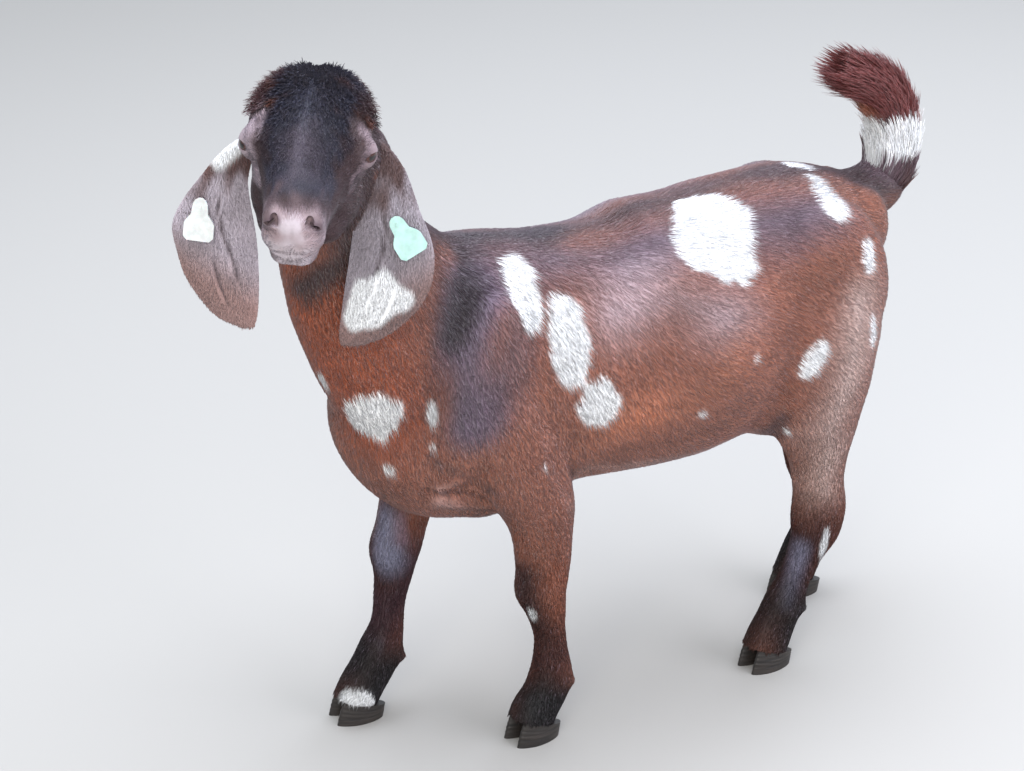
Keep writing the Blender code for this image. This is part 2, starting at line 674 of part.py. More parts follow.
def crown_locks(head):
    """Short tufts on the poll that fan out and lie forward."""
    tree = surface_of(head)
    made = []
    for n, (along, count, spread) in enumerate(CROWN_LOCKS):
        for i in range(count):
            out = spread * (2 * i / (count - 1) - 1)
            root = tree.ray_cast(on_head(along, out, 0.0), UP)[0]
            way = (UP * 0.55 + LEFT * (out / 0.045) + FORWARD * 0.55).normalized()
            bend = FORWARD * 0.25 - UP * 0.15
            reach = CROWN_LOCK_LENGTH * (1.0 - 0.2 * abs(out) / 0.03 + 0.12 * math.sin(3.7 * i + n))
            made.append(lock(root, way, bend, LEFT, reach, CROWN_LOCK_SIZE))
    return made


def surface_of(obj):
    return BVHTree.FromPolygons([v.co for v in obj.data.vertices], [p.vertices for p in obj.data.polygons])


def parted_flesh():
    """Parts the flesh into its nodes and returns them by name."""
    body = flesh()
    nodes = {}
    for name in LEGS:
        leg = boolean(copied(body, name), [leg_zone(name)], "INTERSECT")
        nodes[name] = keep_largest(leg)
        boolean(body, [leg_zone(name, GAP)], "DIFFERENCE")
        point = Vector((FEET[name][0], FEET[name][1], CORONET_MIDDLE))
        flat_end(leg, point, foot_ways(name)[2])
    cuts = [plate(*cut) for cut in CUTS]
    boolean(body, cuts, "DIFFERENCE")
    pieces = loose_parts(body)
    for name, seed in SEEDS.items():
        piece = min(pieces, key=lambda shape: min((v.co - seed).length for v in shape.verts))
        pieces.remove(piece)
        nodes[name] = finished(piece, name)
    for piece in pieces:
        piece.free()
    bpy.data.objects.remove(body)
    return nodes


def ear_frame(side):
    """The ear's root, the way outwards along its width and the way its broad side looks."""
    along, out, height = EAR_ROOT
    faces = Vector((-math.sin(EAR_FACES), -math.cos(EAR_FACES), 0.0))
    across = Vector((-faces.y, faces.x, 0.0)) * side
    return on_head(along, side * out, height), across, faces


def ear_point(side, row, share, inward=0.0):
    """A point of the ear's outer surface, or one that far inside it."""
    root, across, faces = ear_frame(side)
    drop, middle, half, lift = row
    cup = EAR_CUP * 2 * half * (1 - share * share)
    return root + Vector((0, 0, -drop)) + across * (middle + half * share) + faces * (lift + cup - inward)


def ear(side):
    """A hanging, cupped leaf with thin edges; its root end runs into the head."""
    rows = spline(EAR_LEFT if side > 0 else EAR_RIGHT, 1)
    shares = [-math.cos(math.pi * i / 8) for i in range(9)]
    shape = bmesh.new()
    rings = []
    for n, row in enumerate(rows):
        swell = EAR_ROOT_SWELL[n] if n < len(EAR_ROOT_SWELL) else 1.0
        front = [ear_point(side, row, share) for share in shares]
        rear = []
        for share in shares[-2:0:-1]:
            depth = EAR_THICKNESS * swell * math.sqrt(1 - share * share)
            rear.append(ear_point(side, row, share, depth))
        rings.append(front + rear)
    skin_rings(shape, rings)
    return finished(shape, "ear_left" if side > 0 else "ear_right")


def row_at(side, drop):
    """The ear's sizes at a height below its root."""
    rows = spline(EAR_LEFT if side > 0 else EAR_RIGHT, 8)
    return min(rows, key=lambda row: abs(row[0] - drop))


def rod(start, end, radius, name="rod", sides=12):
    shape = bmesh.new()
    way = end - start
    matrix = Matrix.Translation((start + end) / 2) @ way.to_track_quat("Z", "Y").to_matrix().to_4x4()
    bmesh.ops.create_cone(
        shape, cap_ends=True, segments=sides, radius1=radius, radius2=radius, depth=way.length, matrix=matrix
    )
    return finished(shape, name)


def tag_frame(side):
    """The pin's place on the ear, the tag's outward normal, and its down and across directions."""
    share, drop, lean = TAGS["left" if side > 0 else "right"]
    row = row_at(side, drop)
    spot = ear_point(side, row, share)
    over = ear_point(side, row, share + 0.1) - ear_point(side, row, share - 0.1)
    lower, upper = row_at(side, drop + 0.006), row_at(side, drop - 0.006)
    under = ear_point(side, lower, share) - ear_point(side, upper, share)
    normal = over.cross(under).normalized()
    if normal.dot(ear_frame(side)[2]) < 0:
        normal.negate()
    down = Vector((0, 0, -1)) - normal * Vector((0, 0, -1)).dot(normal)
    down.normalize()
    across = normal.cross(down) * (1 if normal.cross(down).dot(ear_frame(side)[1]) > 0 else -1)
    leaned = down * math.cos(lean) + across * math.sin(lean)
    return spot, normal, leaned, normal.cross(leaned)


def tag_outline():
    """The front plate's outline, across and down from the pin: a round neck over a broad blank field."""
    neck, half, drop = TAG_NECK, TAG_HALF_WIDTH, TAG_DROP
    side = [(neck * math.sin(a), -1.15 * neck * math.cos(a)) for a in np.radians((15, 45, 75))]
    side += [(neck * 1.1, neck), (half - 0.0015, neck * 1.75), (half, neck * 2.3), (half, drop - 0.003)]
    side.append((half - 0.003, drop))
    return side + [(-across, down) for across, down in reversed(side)]


def tag(side):
    """A small two-piece ear tag: front plate with a rounded neck, pin, and round button behind the ear."""
    spot, normal, down, across = tag_frame(side)
    outline = tag_outline()
    shape = bmesh.new()
    rows = []
    for lift in (TAG_STAND, TAG_STAND + TAG_THICKNESS):
        rows.append([shape.verts.new(spot + normal * lift + across * x + down * y) for x, y in outline])
    count = len(outline)
    for i in range(count):
        j = (i + 1) % count
        shape.faces.new((rows[0][i], rows[0][j], rows[1][j], rows[1][i]))
    shape.faces.new(rows[0])
    shape.faces.new(rows[1])
    bmesh.ops.triangulate(shape, faces=[f for f in shape.faces if len(f.verts) > 4])
    front = finished(shape, "tag_left" if side > 0 else "tag_right")
    behind = EAR_THICKNESS + TAG_STAND
    tip = spot + normal * (TAG_STAND + 1.4 * TAG_THICKNESS)
    pin = rod(spot - normal * (behind + 0.5 * TAG_THICKNESS), tip, PIN_RADIUS)
    button = rod(spot - normal * (behind + TAG_THICKNESS), spot - normal * behind, BUTTON_RADIUS)
    return boolean(front, [pin, button], "UNION")


def pin_hole(side):
    spot, normal, _, _ = tag_frame(side)
    return rod(spot - normal * PIN_REACH, spot + normal * PIN_REACH, PIN_RADIUS + GAP, "hole")


def eye_frame(side):
    """The middle of an eyeball, and the way it looks."""
    looks = FORWARD * math.cos(EYE_TURN) + LEFT * (side * math.sin(EYE_TURN))
    return on_head(EYE_FORWARD, side * EYE_SIDE, 0.0), looks


def sphere(centre, radius, name, detail=20):
    shape = bmesh.new()
    ball(shape, centre, (radius, radius, radius), detail=detail)
    return finished(shape, name)


def almond(side):
    """A lens-shaped bar that opens the lids in front of the eyeball."""
    centre, looks = eye_frame(side)
    along = UP.cross(looks).normalized()
    height = looks.cross(along)
    long, high = LID_OPENING
    rings = []
    for reach, size in OPENING_RINGS:
        middle = centre + looks * (EYE_RADIUS * reach)
        ring = []
        for i in range(14):
            a = 2 * math.pi * i / 14
            lift = math.sin(a) * abs(math.sin(a)) ** 0.25
            ring.append(middle + (along * (long * math.cos(a)) + height * (high * lift)) * size)
        rings.append(ring)
    shape = bmesh.new()
    skin_rings(shape, rings)
    return finished(shape, "almond")


def mouth_groove(head):
    """A thin round bar laid along the lips from corner to corner."""
    tree = surface_of(head)
    line = []
    forward, up = MOUTH_CENTRE
    for i in range(MOUTH_STEPS + 1):
        a = MOUTH_CORNER * (2 * i / MOUTH_STEPS - 1)
        start = on_head(forward, 0.0, up - MOUTH_FALL * abs(math.sin(a)))
        hit = tree.ray_cast(start, FORWARD * math.cos(a) + LEFT * math.sin(a))[0]
        line.append((*hit, MOUTH_DEPTH, MOUTH_DEPTH, MOUTH_DEPTH))
    shape = bmesh.new()
    loft(shape, line, up=UP, sides=6, steps=1)
    return finished(shape, "mouth")


def nostril(side):
    shape = bmesh.new()
    tilt = Matrix.Rotation(-NOSTRIL_TURN * side, 3, "X") @ Matrix.Rotation(NOSTRIL_TURN * side, 3, "Z")
    forward, out, up = NOSTRIL_CENTRE
    ball(shape, on_head(forward, side * out, up), NOSTRIL_SIZE, HEAD_TURN @ tilt, detail=12)
    return finished(shape, "nostril")


def finish_head(head):
    """Gives the head its lids, eye sockets, nostrils and mouth."""
    eyes = [eye_frame(side)[0] for side in (1, -1)]
    lids = [sphere(eye, EYE_RADIUS + EYE_GAP + LID_THICKNESS, "lid", 16) for eye in eyes]
    boolean(head, lids, "UNION")
    sockets = [sphere(eye, EYE_RADIUS + EYE_GAP, "socket", 16) for eye in eyes]
    boolean(head, sockets, "DIFFERENCE")
    cutters = [almond(1), almond(-1), nostril(1), nostril(-1), mouth_groove(head)]
    for cutter in cutters:
        boolean(head, [cutter], "DIFFERENCE")
    boolean(head, crown_locks(head), "UNION")
    keep_largest(head)


def shaded(obj, surface):
    """Gives a finished node its material, rounded shading and triangles only."""
    shape = bmesh.new()
    shape.from_mesh(obj.data)
    bmesh.ops.dissolve_degenerate(shape, dist=0.00002, edges=shape.edges)
    bmesh.ops.triangulate(shape, faces=shape.faces)
    shape.to_mesh(obj.data)
    shape.free()
    obj.data.materials.clear()
    obj.data.materials.append(surface)
    obj.data.polygons.foreach_set("use_smooth", [True] * len(obj.data.polygons))
    obj.data.set_sharp_from_angle(angle=SHARP_ANGLE)


CUTS = (
    (on_head(-0.055, 0.012, -0.0275), FORWARD * 0.869 + UP * 0.494, 0.28),  # behind the head
    (Vector((-0.200, -0.003, 0.400)), (-0.575, -0.10, 0.812), 0.24),  # root of the neck
    (Vector((0.262, 0.0, 0.418)), (0.85, 0.0, 0.50), 0.092),  # root of the tail
)
SEEDS = {
    "torso": Vector((0.0, -0.10, 0.33)),
    "neck": Vector((-0.290, -0.02, 0.45)),
    "head": on_head(0.1, 0.0, -0.02),
    "tail": Vector((0.25, 0.0, 0.53)),
}


def rest_on_origin():
    """Shifts all so that the middle of the underside of the whole is the origin."""
    objects = [obj for obj in bpy.data.objects if obj.type == "MESH"]
    corners = np.array([v.co for obj in objects for v in obj.data.vertices])
    low, high = corners.min(axis=0), corners.max(axis=0)
    shift = Matrix.Translation((-(low[0] + high[0]) / 2, -(low[1] + high[1]) / 2, -low[2]))
    for obj in objects:
        obj.data.transform(shift)
    return shift.translation


def build():
    """Makes every node of the kid."""
    clear_scene()
    nodes = parted_flesh()
    finish_head(nodes["head"])
    keep_largest(boolean(nodes["tail"], tail_locks(), "UNION"))
    for side, name in ((1, "left"), (-1, "right")):
        nodes[f"eye_{name}"] = sphere(eye_frame(side)[0], EYE_RADIUS, "eye", 16)
        leaf = boolean(ear(side), [swollen(nodes["head"], GAP)], "DIFFERENCE")
        keep_largest(leaf)
        nodes[f"tag_{name}"] = tag(side)
        nodes[f"ear_{name}"] = boolean(leaf, [pin_hole(side)], "DIFFERENCE")
    for name in FEET:
        for side, place in ((1, "left"), (-1, "right")):
            nodes[f"claw_{place}_{name}"] = claw(name, side)
    coat = material("coat", (0.16, 0.05, 0.03), 0.6)
    surfaces = {
        "eye": material("eye", (0.08, 0.04, 0.02), 0.1),
        "tag": material("tag_plastic", (0.85, 0.87, 0.83), 0.4),
        "claw": material("horn", (0.03, 0.025, 0.025), 0.5),
    }
    for name, obj in nodes.items():
        obj.name = name
        obj.data.name = name
        shaded(obj, surfaces.get(name.split("_")[0], coat))
    return nodes


nodes = build()
rest_on_origin()
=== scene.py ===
"""Looks of a standing boer goat kid: skin, coat, tail brush, ears, eyes and hooves round the solids."""
import math

import bmesh
import bpy
import numpy as np
from mathutils import Matrix, Vector
from mathutils.bvhtree import BVHTree


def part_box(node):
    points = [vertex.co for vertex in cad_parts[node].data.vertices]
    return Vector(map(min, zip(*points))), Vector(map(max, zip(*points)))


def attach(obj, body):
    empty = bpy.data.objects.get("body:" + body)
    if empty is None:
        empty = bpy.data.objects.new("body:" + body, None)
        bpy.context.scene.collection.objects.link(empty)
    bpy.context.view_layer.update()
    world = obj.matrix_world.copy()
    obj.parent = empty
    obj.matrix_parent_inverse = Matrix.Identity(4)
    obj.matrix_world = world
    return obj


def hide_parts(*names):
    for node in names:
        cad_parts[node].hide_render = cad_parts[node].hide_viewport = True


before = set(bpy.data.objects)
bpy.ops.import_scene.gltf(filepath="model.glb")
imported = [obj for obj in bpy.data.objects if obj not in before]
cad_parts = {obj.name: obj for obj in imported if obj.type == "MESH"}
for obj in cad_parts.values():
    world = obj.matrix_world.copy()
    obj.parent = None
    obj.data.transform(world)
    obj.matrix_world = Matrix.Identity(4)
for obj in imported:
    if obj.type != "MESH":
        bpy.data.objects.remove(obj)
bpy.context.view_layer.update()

# The photograph's view: degrees off square to the left side and above level, metres and millimetres
CAMERA_AZIMUTH = -30
CAMERA_HEIGHT = 25.5
CAMERA_DISTANCE = 2.6
CAMERA_TARGET = Vector((-0.02, 0.13, 0.24))
SENSOR_WIDTH = 36.0
CAMERA_LENS = 2912 * SENSOR_WIDTH / 1024
# Lights: name, place, size, power, colour
LIGHTS = (
    ("overhead", (0.2, 0.1, 2.4), (2.8, 2.4), 105.0, "#eef3ff"),
    ("side_window", (1.7, -2.5, 1.2), (2.4, 1.7), 62.0, "#f4f4ff"),
    ("front_fill", (-1.6, -2.0, 1.5), (1.6, 1.4), 46.0, "#fffaf2"),
    ("rear_rim", (1.9, 1.2, 1.6), (1.4, 1.2), 18.0, "#e9f0ff"),
)
LIGHTS_AIM = Vector((0, 0, 0.3))
TAG_DUST = 0.006  # size of the specks on an ear tag
SKY = ("#dfe6ee", 0.75)  # colour and strength
FLOOR = (4.0, "#aaa8a4")  # half width and colour

VOXEL = 0.0033  # grain of the skin
FLESH_SMOOTHING = 8  # rounds
SKIN_BEND = math.radians(40)  # sharper bends of the skin are shaded as edges
FINE_HEAD = ((0.028, 0.0, -0.012), 0.082)  # middle and radius of the face, where the skin's grain is halved
FOOT_BLOCK = (0.07, 0.06, 0.06)  # what is cut off the skin below each coronet
HEEL = (0.8, 0.010)  # dewclaws: share of the fetlock's reach backward, drop below it
SOLE_STUB = (0.008, 0.008)  # how far the leg's last row is set forward, and its height
LID_THICKNESS = 0.0016
LID_EASING = (0.026, 14)  # reach and rounds of the smoothing that beds the lids in
SOCKET_GAP = 0.0002  # round the eyeball
MOUTH_DEPTH = 0.0012
EAR_COAT = 0.0005  # the short hair stands this far off the ear
EAR_LEVEL = {"ear_left": 0.70, "ear_right": 1.0}  # painted shade: the near ear is darker
# Creases of an ear: share of the half width at their top and bottom, drop there, width as a share
EAR_CREASES = ((-0.02, -0.50, 0.042, 0.132, 0.055), (0.10, 0.06, 0.095, 0.148, 0.05))
CREASE_DEPTH = 0.0014
CREASE_SHADE = 0.75  # how strongly painted shade darkens them
EAR_WAVES = (0.0007, 5.0, 40)  # height, and how close they lie across and down
EAR_WAVE_START = (0.02, 0.04)  # drop and fade
EAR_WAVE_END = (0.16, 0.05)  # the same
CREASE_FADE = 0.02  # at their top and bottom
EAR_ROUND = 28  # steps across an ear
EAR_SLICES = 6  # rows of an ear between two of its table's
EAR_TABLE_ROWS = 8  # the same where places on it are measured
EAR_HAIR = (0.0052, 0.00058, 0.0003)  # length, width and height
EAR_HAIR_LOOK = {"stray": 0.04, "sunk": 0.0002, "mottle": 0.08, "ridge": 0.20}
EAR_COVER = 2.0  # how many tufts lie over each place of an ear
# Shorter hair along the edge and the tip: where it starts, over what, and the share taken off
EAR_EDGE_TRIM = (0.65, 0.35, 0.45)
EAR_TIP_TRIM = (0.135, 0.02, 0.35)
# An ear's colours: drop and fade where it turns rosy and where its brown root ends, and how these waver
EAR_ROSY = (0.085, 0.05)
EAR_BROWN = (0.060, 0.045)
EAR_WAVER = 0.02
EAR_STREAKS = (0.18, 0.005, 21)  # share of the height, size and seed
EAR_MARBLE = (0.02, 20)  # size and seed
EAR_MOTTLE = 0.08
EAR_SPOT_STREAKS = (0.35, 0.008, 23)
EAR_SPOT_EDGE = (0.7, 0.25, 0.005)  # level of the streaks, their share of the radius, and softness
EAR_MAP = ((0.5, 6), (0.9, 5))  # the root's place and the scale on the flat map, across and down

COVER = 1.7  # how many tufts lie over each place of the body
TUFTS_PER_PIECE = 48000
TUFT_WIDTH = (0.00028, 0.055)  # metres, and share of its length
TUFT_SHADES = (0.74, 0.74, 0.86, 1.12)  # of its two sides, its ridge and its tip
BLADE = 0.6  # share of a tuft's length times width that it really covers
TUFT_SPREAD = ((0.78, 1.18), (0.75, 1.2), (0.55, 1.15))  # how much their length, width and height differ
TUFT_BACK = 0.2  # share of its width that a tuft's ridge stands behind its foot
TUFT_TONES = (0.6, 1.6)  # the darkest and the lightest
PATCH = 0.0015  # half size of a tuft's own patch on the flat map
UNDERCOAT = 0.8  # level of the skin's colours under the coat, darker as painted shade in the depth of the hair
GLINTS = 0.035  # share of the tufts given a painted glint
MOTTLE = 0.17  # how much tufts of the body differ in lightness
FACE_MOTTLE = 0.11
# Shorter and thinner coat on the face and the lower legs: reach and fade in metres, share taken off
FACE_REACH = (0.115, 0.03)
FACE_FROM = (0.01, 0.085)  # behind the eyes, and from there to the full effect
FACE_TRIM = (0.50, 0.30)  # off the length and the depth
FOOT_REACH = (0.10, 0.08)  # height where it starts, and fade
FOOT_TRIM = 0.30
# On the flanks the hair turns down: place along the body, and how steeply
FLANK_FALL = ((-0.16, -0.06, 0.06, 0.20), (3.2, 2.2, 0.9, 1.1))
FLANK_FROM = 0.06  # metres off the spine where that is in full
TAIL_FAN = 22  # how much the tail's hair stands away from its middle line
BARE_EYE = (0.006, 0.0092)  # no hair this far behind the eye's middle and round its line of sight
BARE_NOSTRIL = (0.0045, 0.004)  # radius and fade of the bare places
BARE_LIPS = (0.0010, 0.0016, 0.055)  # the same along the lips, and how far forward they start
BARE_NOSE = ((0.106, 0.0, -0.022), 0.006, 0.008)
# Where the pieces of coat meet, in metres, and how far the tufts of both are mixed there
LEG_TOP = (0.19, 0.03)
HEAD_FROM_NECK = (0.060, 0.008)
# Ripples that break up the colours: size of the broad and the fine ones, and seeds
BROAD = (0.035, 3)
FINE = (0.009, 4)
RIPPLE_WAVES = 7
RIPPLE_SPREAD = (1.2, 3.0)  # lengths of its waves, over its size
RIPPLE_LEVEL = 3.2  # brings the sum of the waves near 1
# How much they move the edges of the body's and the head's zones and of the spots, and lighten the coat
ZONE_WAVER = 0.6
HEAD_ZONE_WAVER = 0.5
MOST_WAVER = 0.012
SPOT_WAVER = (0.55, 0.35)  # fine and broad
SPOT_SHAPE = (0.16, 0.25, 0.0008)  # ragged share of the radius, share it narrows by at its ends, raggedness
COAT_TONES = (0.10, 0.06)  # broad and fine
WRINKLES = (0.0005, 0.022, 8)  # height, size and seed
HEAD_REACH = 0.085  # markings of the head lie this near to its middle line

TAIL_CURL = Vector((-0.36, 0.0, 0.07))
TAIL_LOCKS = 7600
TAIL_SHARES = (0.36, 0.995)  # the brush's first and last place along the tail
TAIL_LOCK_WIDTH = 0.0012
TAIL_STEPS = 12  # rows of the tail between two of its table's
TAIL_DEPTH = 0.9  # locks start at this share of its thickness
TAIL_STRAY = (0.07, 0.05)  # of the locks' ways and of their bends
TAIL_BEND = (0.35, 0.65, 0.25)  # curl at the first place, what the last adds, and the bend back inwards
TAIL_SPREAD = (0.75, 1.12)  # of their lengths
TAIL_TINT_AT = 0.55  # a lock takes the colour of the place this far along it
# Longer locks: places of their rings, taper and height of the ridge as shares of the width, mottle, and
# their level at the root, what it gains towards the tip, and the tip's own
LOCK_STEPS = (0.0, 0.3, 0.62, 0.85)
LOCK_TAPER = 0.72
LOCK_RIDGE = 0.7
LOCK_MOTTLE = 0.12
LOCK_SHADES = (0.70, 0.38, 1.15)
# Along the tail: how far the locks stand out, and their length
TAIL_LIFT = ((0.36, 0.55, 0.8, 1.0), (0.20, 0.42, 0.50, 0.26))
TAIL_LENGTH = ((0.36, 0.6, 1.0), (0.022, 0.031, 0.040))
CROWN_LOCKS = 8400
CROWN_REACH = (-0.066, 0.130)  # rear edge ahead of the eyes, and length
# Poll, by the place ahead of the eyes: half width, how upright the locks stand, their length and width
CROWN_HALF_WIDTH = ((-0.066, -0.045, -0.020, 0.020, 0.060), (0.024, 0.044, 0.046, 0.036, 0.020))
CROWN_UPRIGHT = ((-0.066, -0.035, -0.010, 0.020, 0.060), (0.9, 0.85, 0.40, 0.12, 0.07))
CROWN_LENGTH = ((-0.066, -0.035, -0.010, 0.020, 0.060), (0.014, 0.0165, 0.0120, 0.0080, 0.0050))
CROWN_LOCK_WIDTH = ((-0.010, 0.030), (0.00075, 0.00050))
CROWN_CROWDING = (1.0, 1.25)  # of the places along it, more to the rear
CROWN_SIDES = (4, 0.5, 0.045, 0.012)  # how fast locks lie down sideways, and least, where, and how far ahead
CROWN_FAN = (0.75, 0.10)  # lean forward, and metres off the middle where they lean out in full
CROWN_BEND = (0.28, 0.10)  # down and forward
CROWN_STRAY = (0.10, 0.08)  # of the locks' ways and of their bends
CROWN_ROOT = 0.001  # how deep they stand in the skin
CROWN_PARTING = (-0.002, 0.010)  # its place off the middle and its half width
CROWN_PARTED = (0.45, 0.55)  # share of the length in it, and what is added beside it
CROWN_RIGHT = (-0.004, 0.10)  # right of here the locks are longer by this
CROWN_SPREAD = (0.7, 1.15)  # of their lengths
CROWN_SHORTER = 5  # share they lose for each metre off the middle

# Colours of the coat, from the photograph
CHESTNUT = "#945943"
# Brown of the upper back with a painted violet sheen
BACK_BROWN_SHEEN = "#665461"
# Painted highlight: the pale sheen of the glossy hair on the flanks
FLANK_SHINE = "#b7a2a9"
# Painted highlight: the pale sheen of the glossy hair on the thighs
THIGH_SHINE = "#cfb7b0"
BELLY_EDGE = "#b08a80"
# Painted highlight on the crests of the chest folds
FOLD_HIGHLIGHT = "#b58d86"
BELLY = "#b66f4e"
DEEP_BROWN = "#3a2023"
# Black hair, tinted blue-grey by a painted sheen
BLACK = "#1f2237"
BRIDGE = "#3f3543"
WHITE = "#eef0f2"
RUST = "#9c4c26"
DARK_LEG = "#3e1b16"
FOOT_BLACK = "#131114"
MUZZLE = "#aa959a"
MUZZLE_EDGE = "#5b474b"
SHOULDER = "#251924"
# Painted sheen: violet-grey gloss on the dark shoulder hair
SHOULDER_SHINE = "#645264"
SHOULDER_EDGE = "#684a50"
# Dark brown of the throat, deepened as painted shade under the jaw and behind the ear
THROAT_BROWN_AND_SHADE = "#3a1c19"
NECK_SHADE = "#5c332d"
FAR_LEG = "#40242b"
KNEE_PINK = "#8d707d"
BROW_SKIN = "#ab99a2"
MAROON = "#4b2226"
TAIL_GREY = "#6a5460"
EAR_TOP = "#583a36"
# Painted shade in the ear's creases
EAR_CREASE_SHADE = "#4c3a40"
# Painted glint, laid into a share of the tufts
GLINT = "#5c525c"
# Painted blue-grey sheen on the legs
LEG_SHEEN = "#7d7d93"
# Painted shade in the nostrils
NOSTRIL_SHADE = "#6a565f"
PALE_CHIN = "#c6bac2"
LID_SKIN = "#927d84"
# Painted sheen: the ears' grey-lilac stands for light on their dark brown hair
EAR_SHEEN_GREY = "#b1a7b1"
EAR_ROSE = "#a07f7a"
BRUSH = "#6b3230"
# The eye, and the shine laid in the hair
IRIS = ("#3c1f1c", "#6a3d2e")  # ground and spokes
IRIS_RIM = "#140d0b"
EYE_WHITE = "#3b2a26"
PUPIL = "#0c0608"
TAGS = {"tag_left": ("tag_pale_green", "#a9cfc6"), "tag_right": ("tag_white", "#dfe3e2")}
SHEEN = "#cdc0c8"

HEAD_YAW = math.radians(57)  # turned to the kid's left
HEAD_PITCH = math.radians(4)  # nose below level
HEAD_ROLL = math.radians(5)  # left side down
EYES_MIDDLE = Vector((-0.311, -0.072, 0.590))
EYE_RADIUS = 0.0115
EYE_FORWARD = 0.003  # eye centre in the head's frame
EYE_SIDE = 0.0395
EYE_TURN = math.radians(56)  # the eye looks this far off straight ahead
EYE_DETAIL = 96  # points round the eyeball
# In eye radii: reach of the bulge, whose height is in metres, the iris and its rim, half sizes of the pupil
EYE_BULGE = (0.0005, 0.55)
IRIS_SPOKES = 46
IRIS_LEVELS = (0.8, 0.25)  # of its ground and of its spokes
IRIS_EDGE = 0.62
IRIS_RIM_FADE = (0.50, 0.10)
PUPIL_SIZE = (0.36, 0.17)
LID_DETAIL = 40  # points round the lids and the sockets
LID_OPENING = (0.0094, 0.0038)  # half length and half height between the lids
OPENING_RINGS = ((0.45, 0.9), (1.05, 1.0), (2.4, 1.7))  # reach in eye radii, share of the opening
MOUTH_CORNER = math.radians(112)  # the corners of the mouth lie this far round from the front
MOUTH_CENTRE = (0.066, -0.0385)  # forward and up, from where the lips are found
MOUTH_FALL = 0.003  # from the middle of the lips to their sides
MOUTH_STEPS = 20
NOSTRIL_CENTRE = (0.0985, 0.0125, -0.0145)
NOSTRIL_SIZE = (0.0080, 0.0034, 0.0052)
NOSTRIL_TAIL = (0.0062, 0.0019, 0.0046)
NOSTRIL_TURN = math.radians(28)
EAR_THICKNESS = 0.0032
EAR_CUP = 0.10  # depth of the cup as a share of the width
EAR_ROOT_SWELL = (2.4, 2.4, 1.9, 1.4)  # the first rows are this much thicker
CORONET_MIDDLE = 0.0185  # height of the hoof's top under the middle of the foot
CORONET_SLOPE = math.radians(15)  # higher at the toe
CLAW_HALF_LENGTH = 0.0215
CLAW_HALF_WIDTH = 0.0088
CLAW_SPREAD = 0.0095  # claw middle from the foot's middle
CLAW_TAPER = 0.30  # how much narrower it is at the toe
CLAW_INNER = 0.86  # the side towards the cleft is flatter
CLAW_RINGS = ((0.0, 1.0, 0.0), (0.5, 0.96, 0.0020), (1.0, 0.90, 0.0045))  # rise, size, set back
CLAW_ROUND = 48  # points round a claw, over as many levels as its growth rings need
CLAW_LEVELS = 25
CLAW_GAP = 0.0003  # between a claw and the skin's cut
CLAW_BEND = math.radians(45)  # sharper bends of a claw are shaded as edges
CLAW_RIDGES = (0.012, 34)  # depth of the growth rings as a share, and how close they lie
# Trunk: place along the body, spine height, underline height, half width, height share of the widest level
TRUNK = (
    (-0.244, 0.370, 0.320, 0.032, 0.50),
    (-0.229, 0.398, 0.281, 0.054, 0.46),
    (-0.208, 0.424, 0.245, 0.068, 0.45),
    (-0.182, 0.449, 0.216, 0.078, 0.45),
    (-0.150, 0.460, 0.203, 0.083, 0.47),
    (-0.105, 0.453, 0.208, 0.087, 0.48),
    (-0.055, 0.443, 0.221, 0.096, 0.47),
    (0.000, 0.445, 0.219, 0.105, 0.45),
    (0.050, 0.455, 0.216, 0.107, 0.46),
    (0.095, 0.461, 0.223, 0.098, 0.50),
    (0.140, 0.465, 0.248, 0.085, 0.54),
    (0.182, 0.462, 0.288, 0.076, 0.56),
    (0.215, 0.450, 0.325, 0.064, 0.56),
    (0.242, 0.432, 0.352, 0.046, 0.55),
)
# Neck: axis point, half width, reach towards the nape, reach towards the throat
NECK = (
    (-0.150, 0.000, 0.345, 0.062, 0.085, 0.100),
    (-0.192, -0.002, 0.388, 0.063, 0.081, 0.093),
    (-0.226, -0.008, 0.436, 0.056, 0.068, 0.080),
    (-0.250, -0.020, 0.486, 0.048, 0.053, 0.070),
    (-0.266, -0.034, 0.532, 0.045, 0.048, 0.060),
    (-0.276, -0.044, 0.566, 0.042, 0.044, 0.050),
)
# Legs: axis point, half width, reach forward, reach backward; the first rows lie inside the trunk
NEAR_FORELEG = (
    (-0.150, -0.058, 0.365, 0.026, 0.040, 0.050),
    (-0.142, -0.062, 0.315, 0.032, 0.046, 0.050),
    (-0.122, -0.064, 0.265, 0.029, 0.038, 0.042),
    (-0.106, -0.063, 0.232, 0.0245, 0.033, 0.033),
    (-0.100, -0.061, 0.200, 0.0210, 0.0285, 0.0270),
    (-0.099, -0.059, 0.168, 0.0190, 0.0250, 0.0245),
    (-0.100, -0.058, 0.148, 0.0195, 0.0245, 0.0240),
    (-0.096, -0.057, 0.127, 0.0160, 0.0175, 0.0190),
    (-0.091, -0.056, 0.100, 0.0130, 0.0140, 0.0155),
    (-0.090, -0.055, 0.080, 0.0135, 0.0150, 0.0175),
    (-0.089, -0.054, 0.061, 0.0170, 0.0180, 0.0215),
    (-0.094, -0.053, 0.042, 0.0175, 0.0195, 0.0220),
    (-0.102, -0.052, 0.026, 0.0190, 0.0215, 0.0205),
)
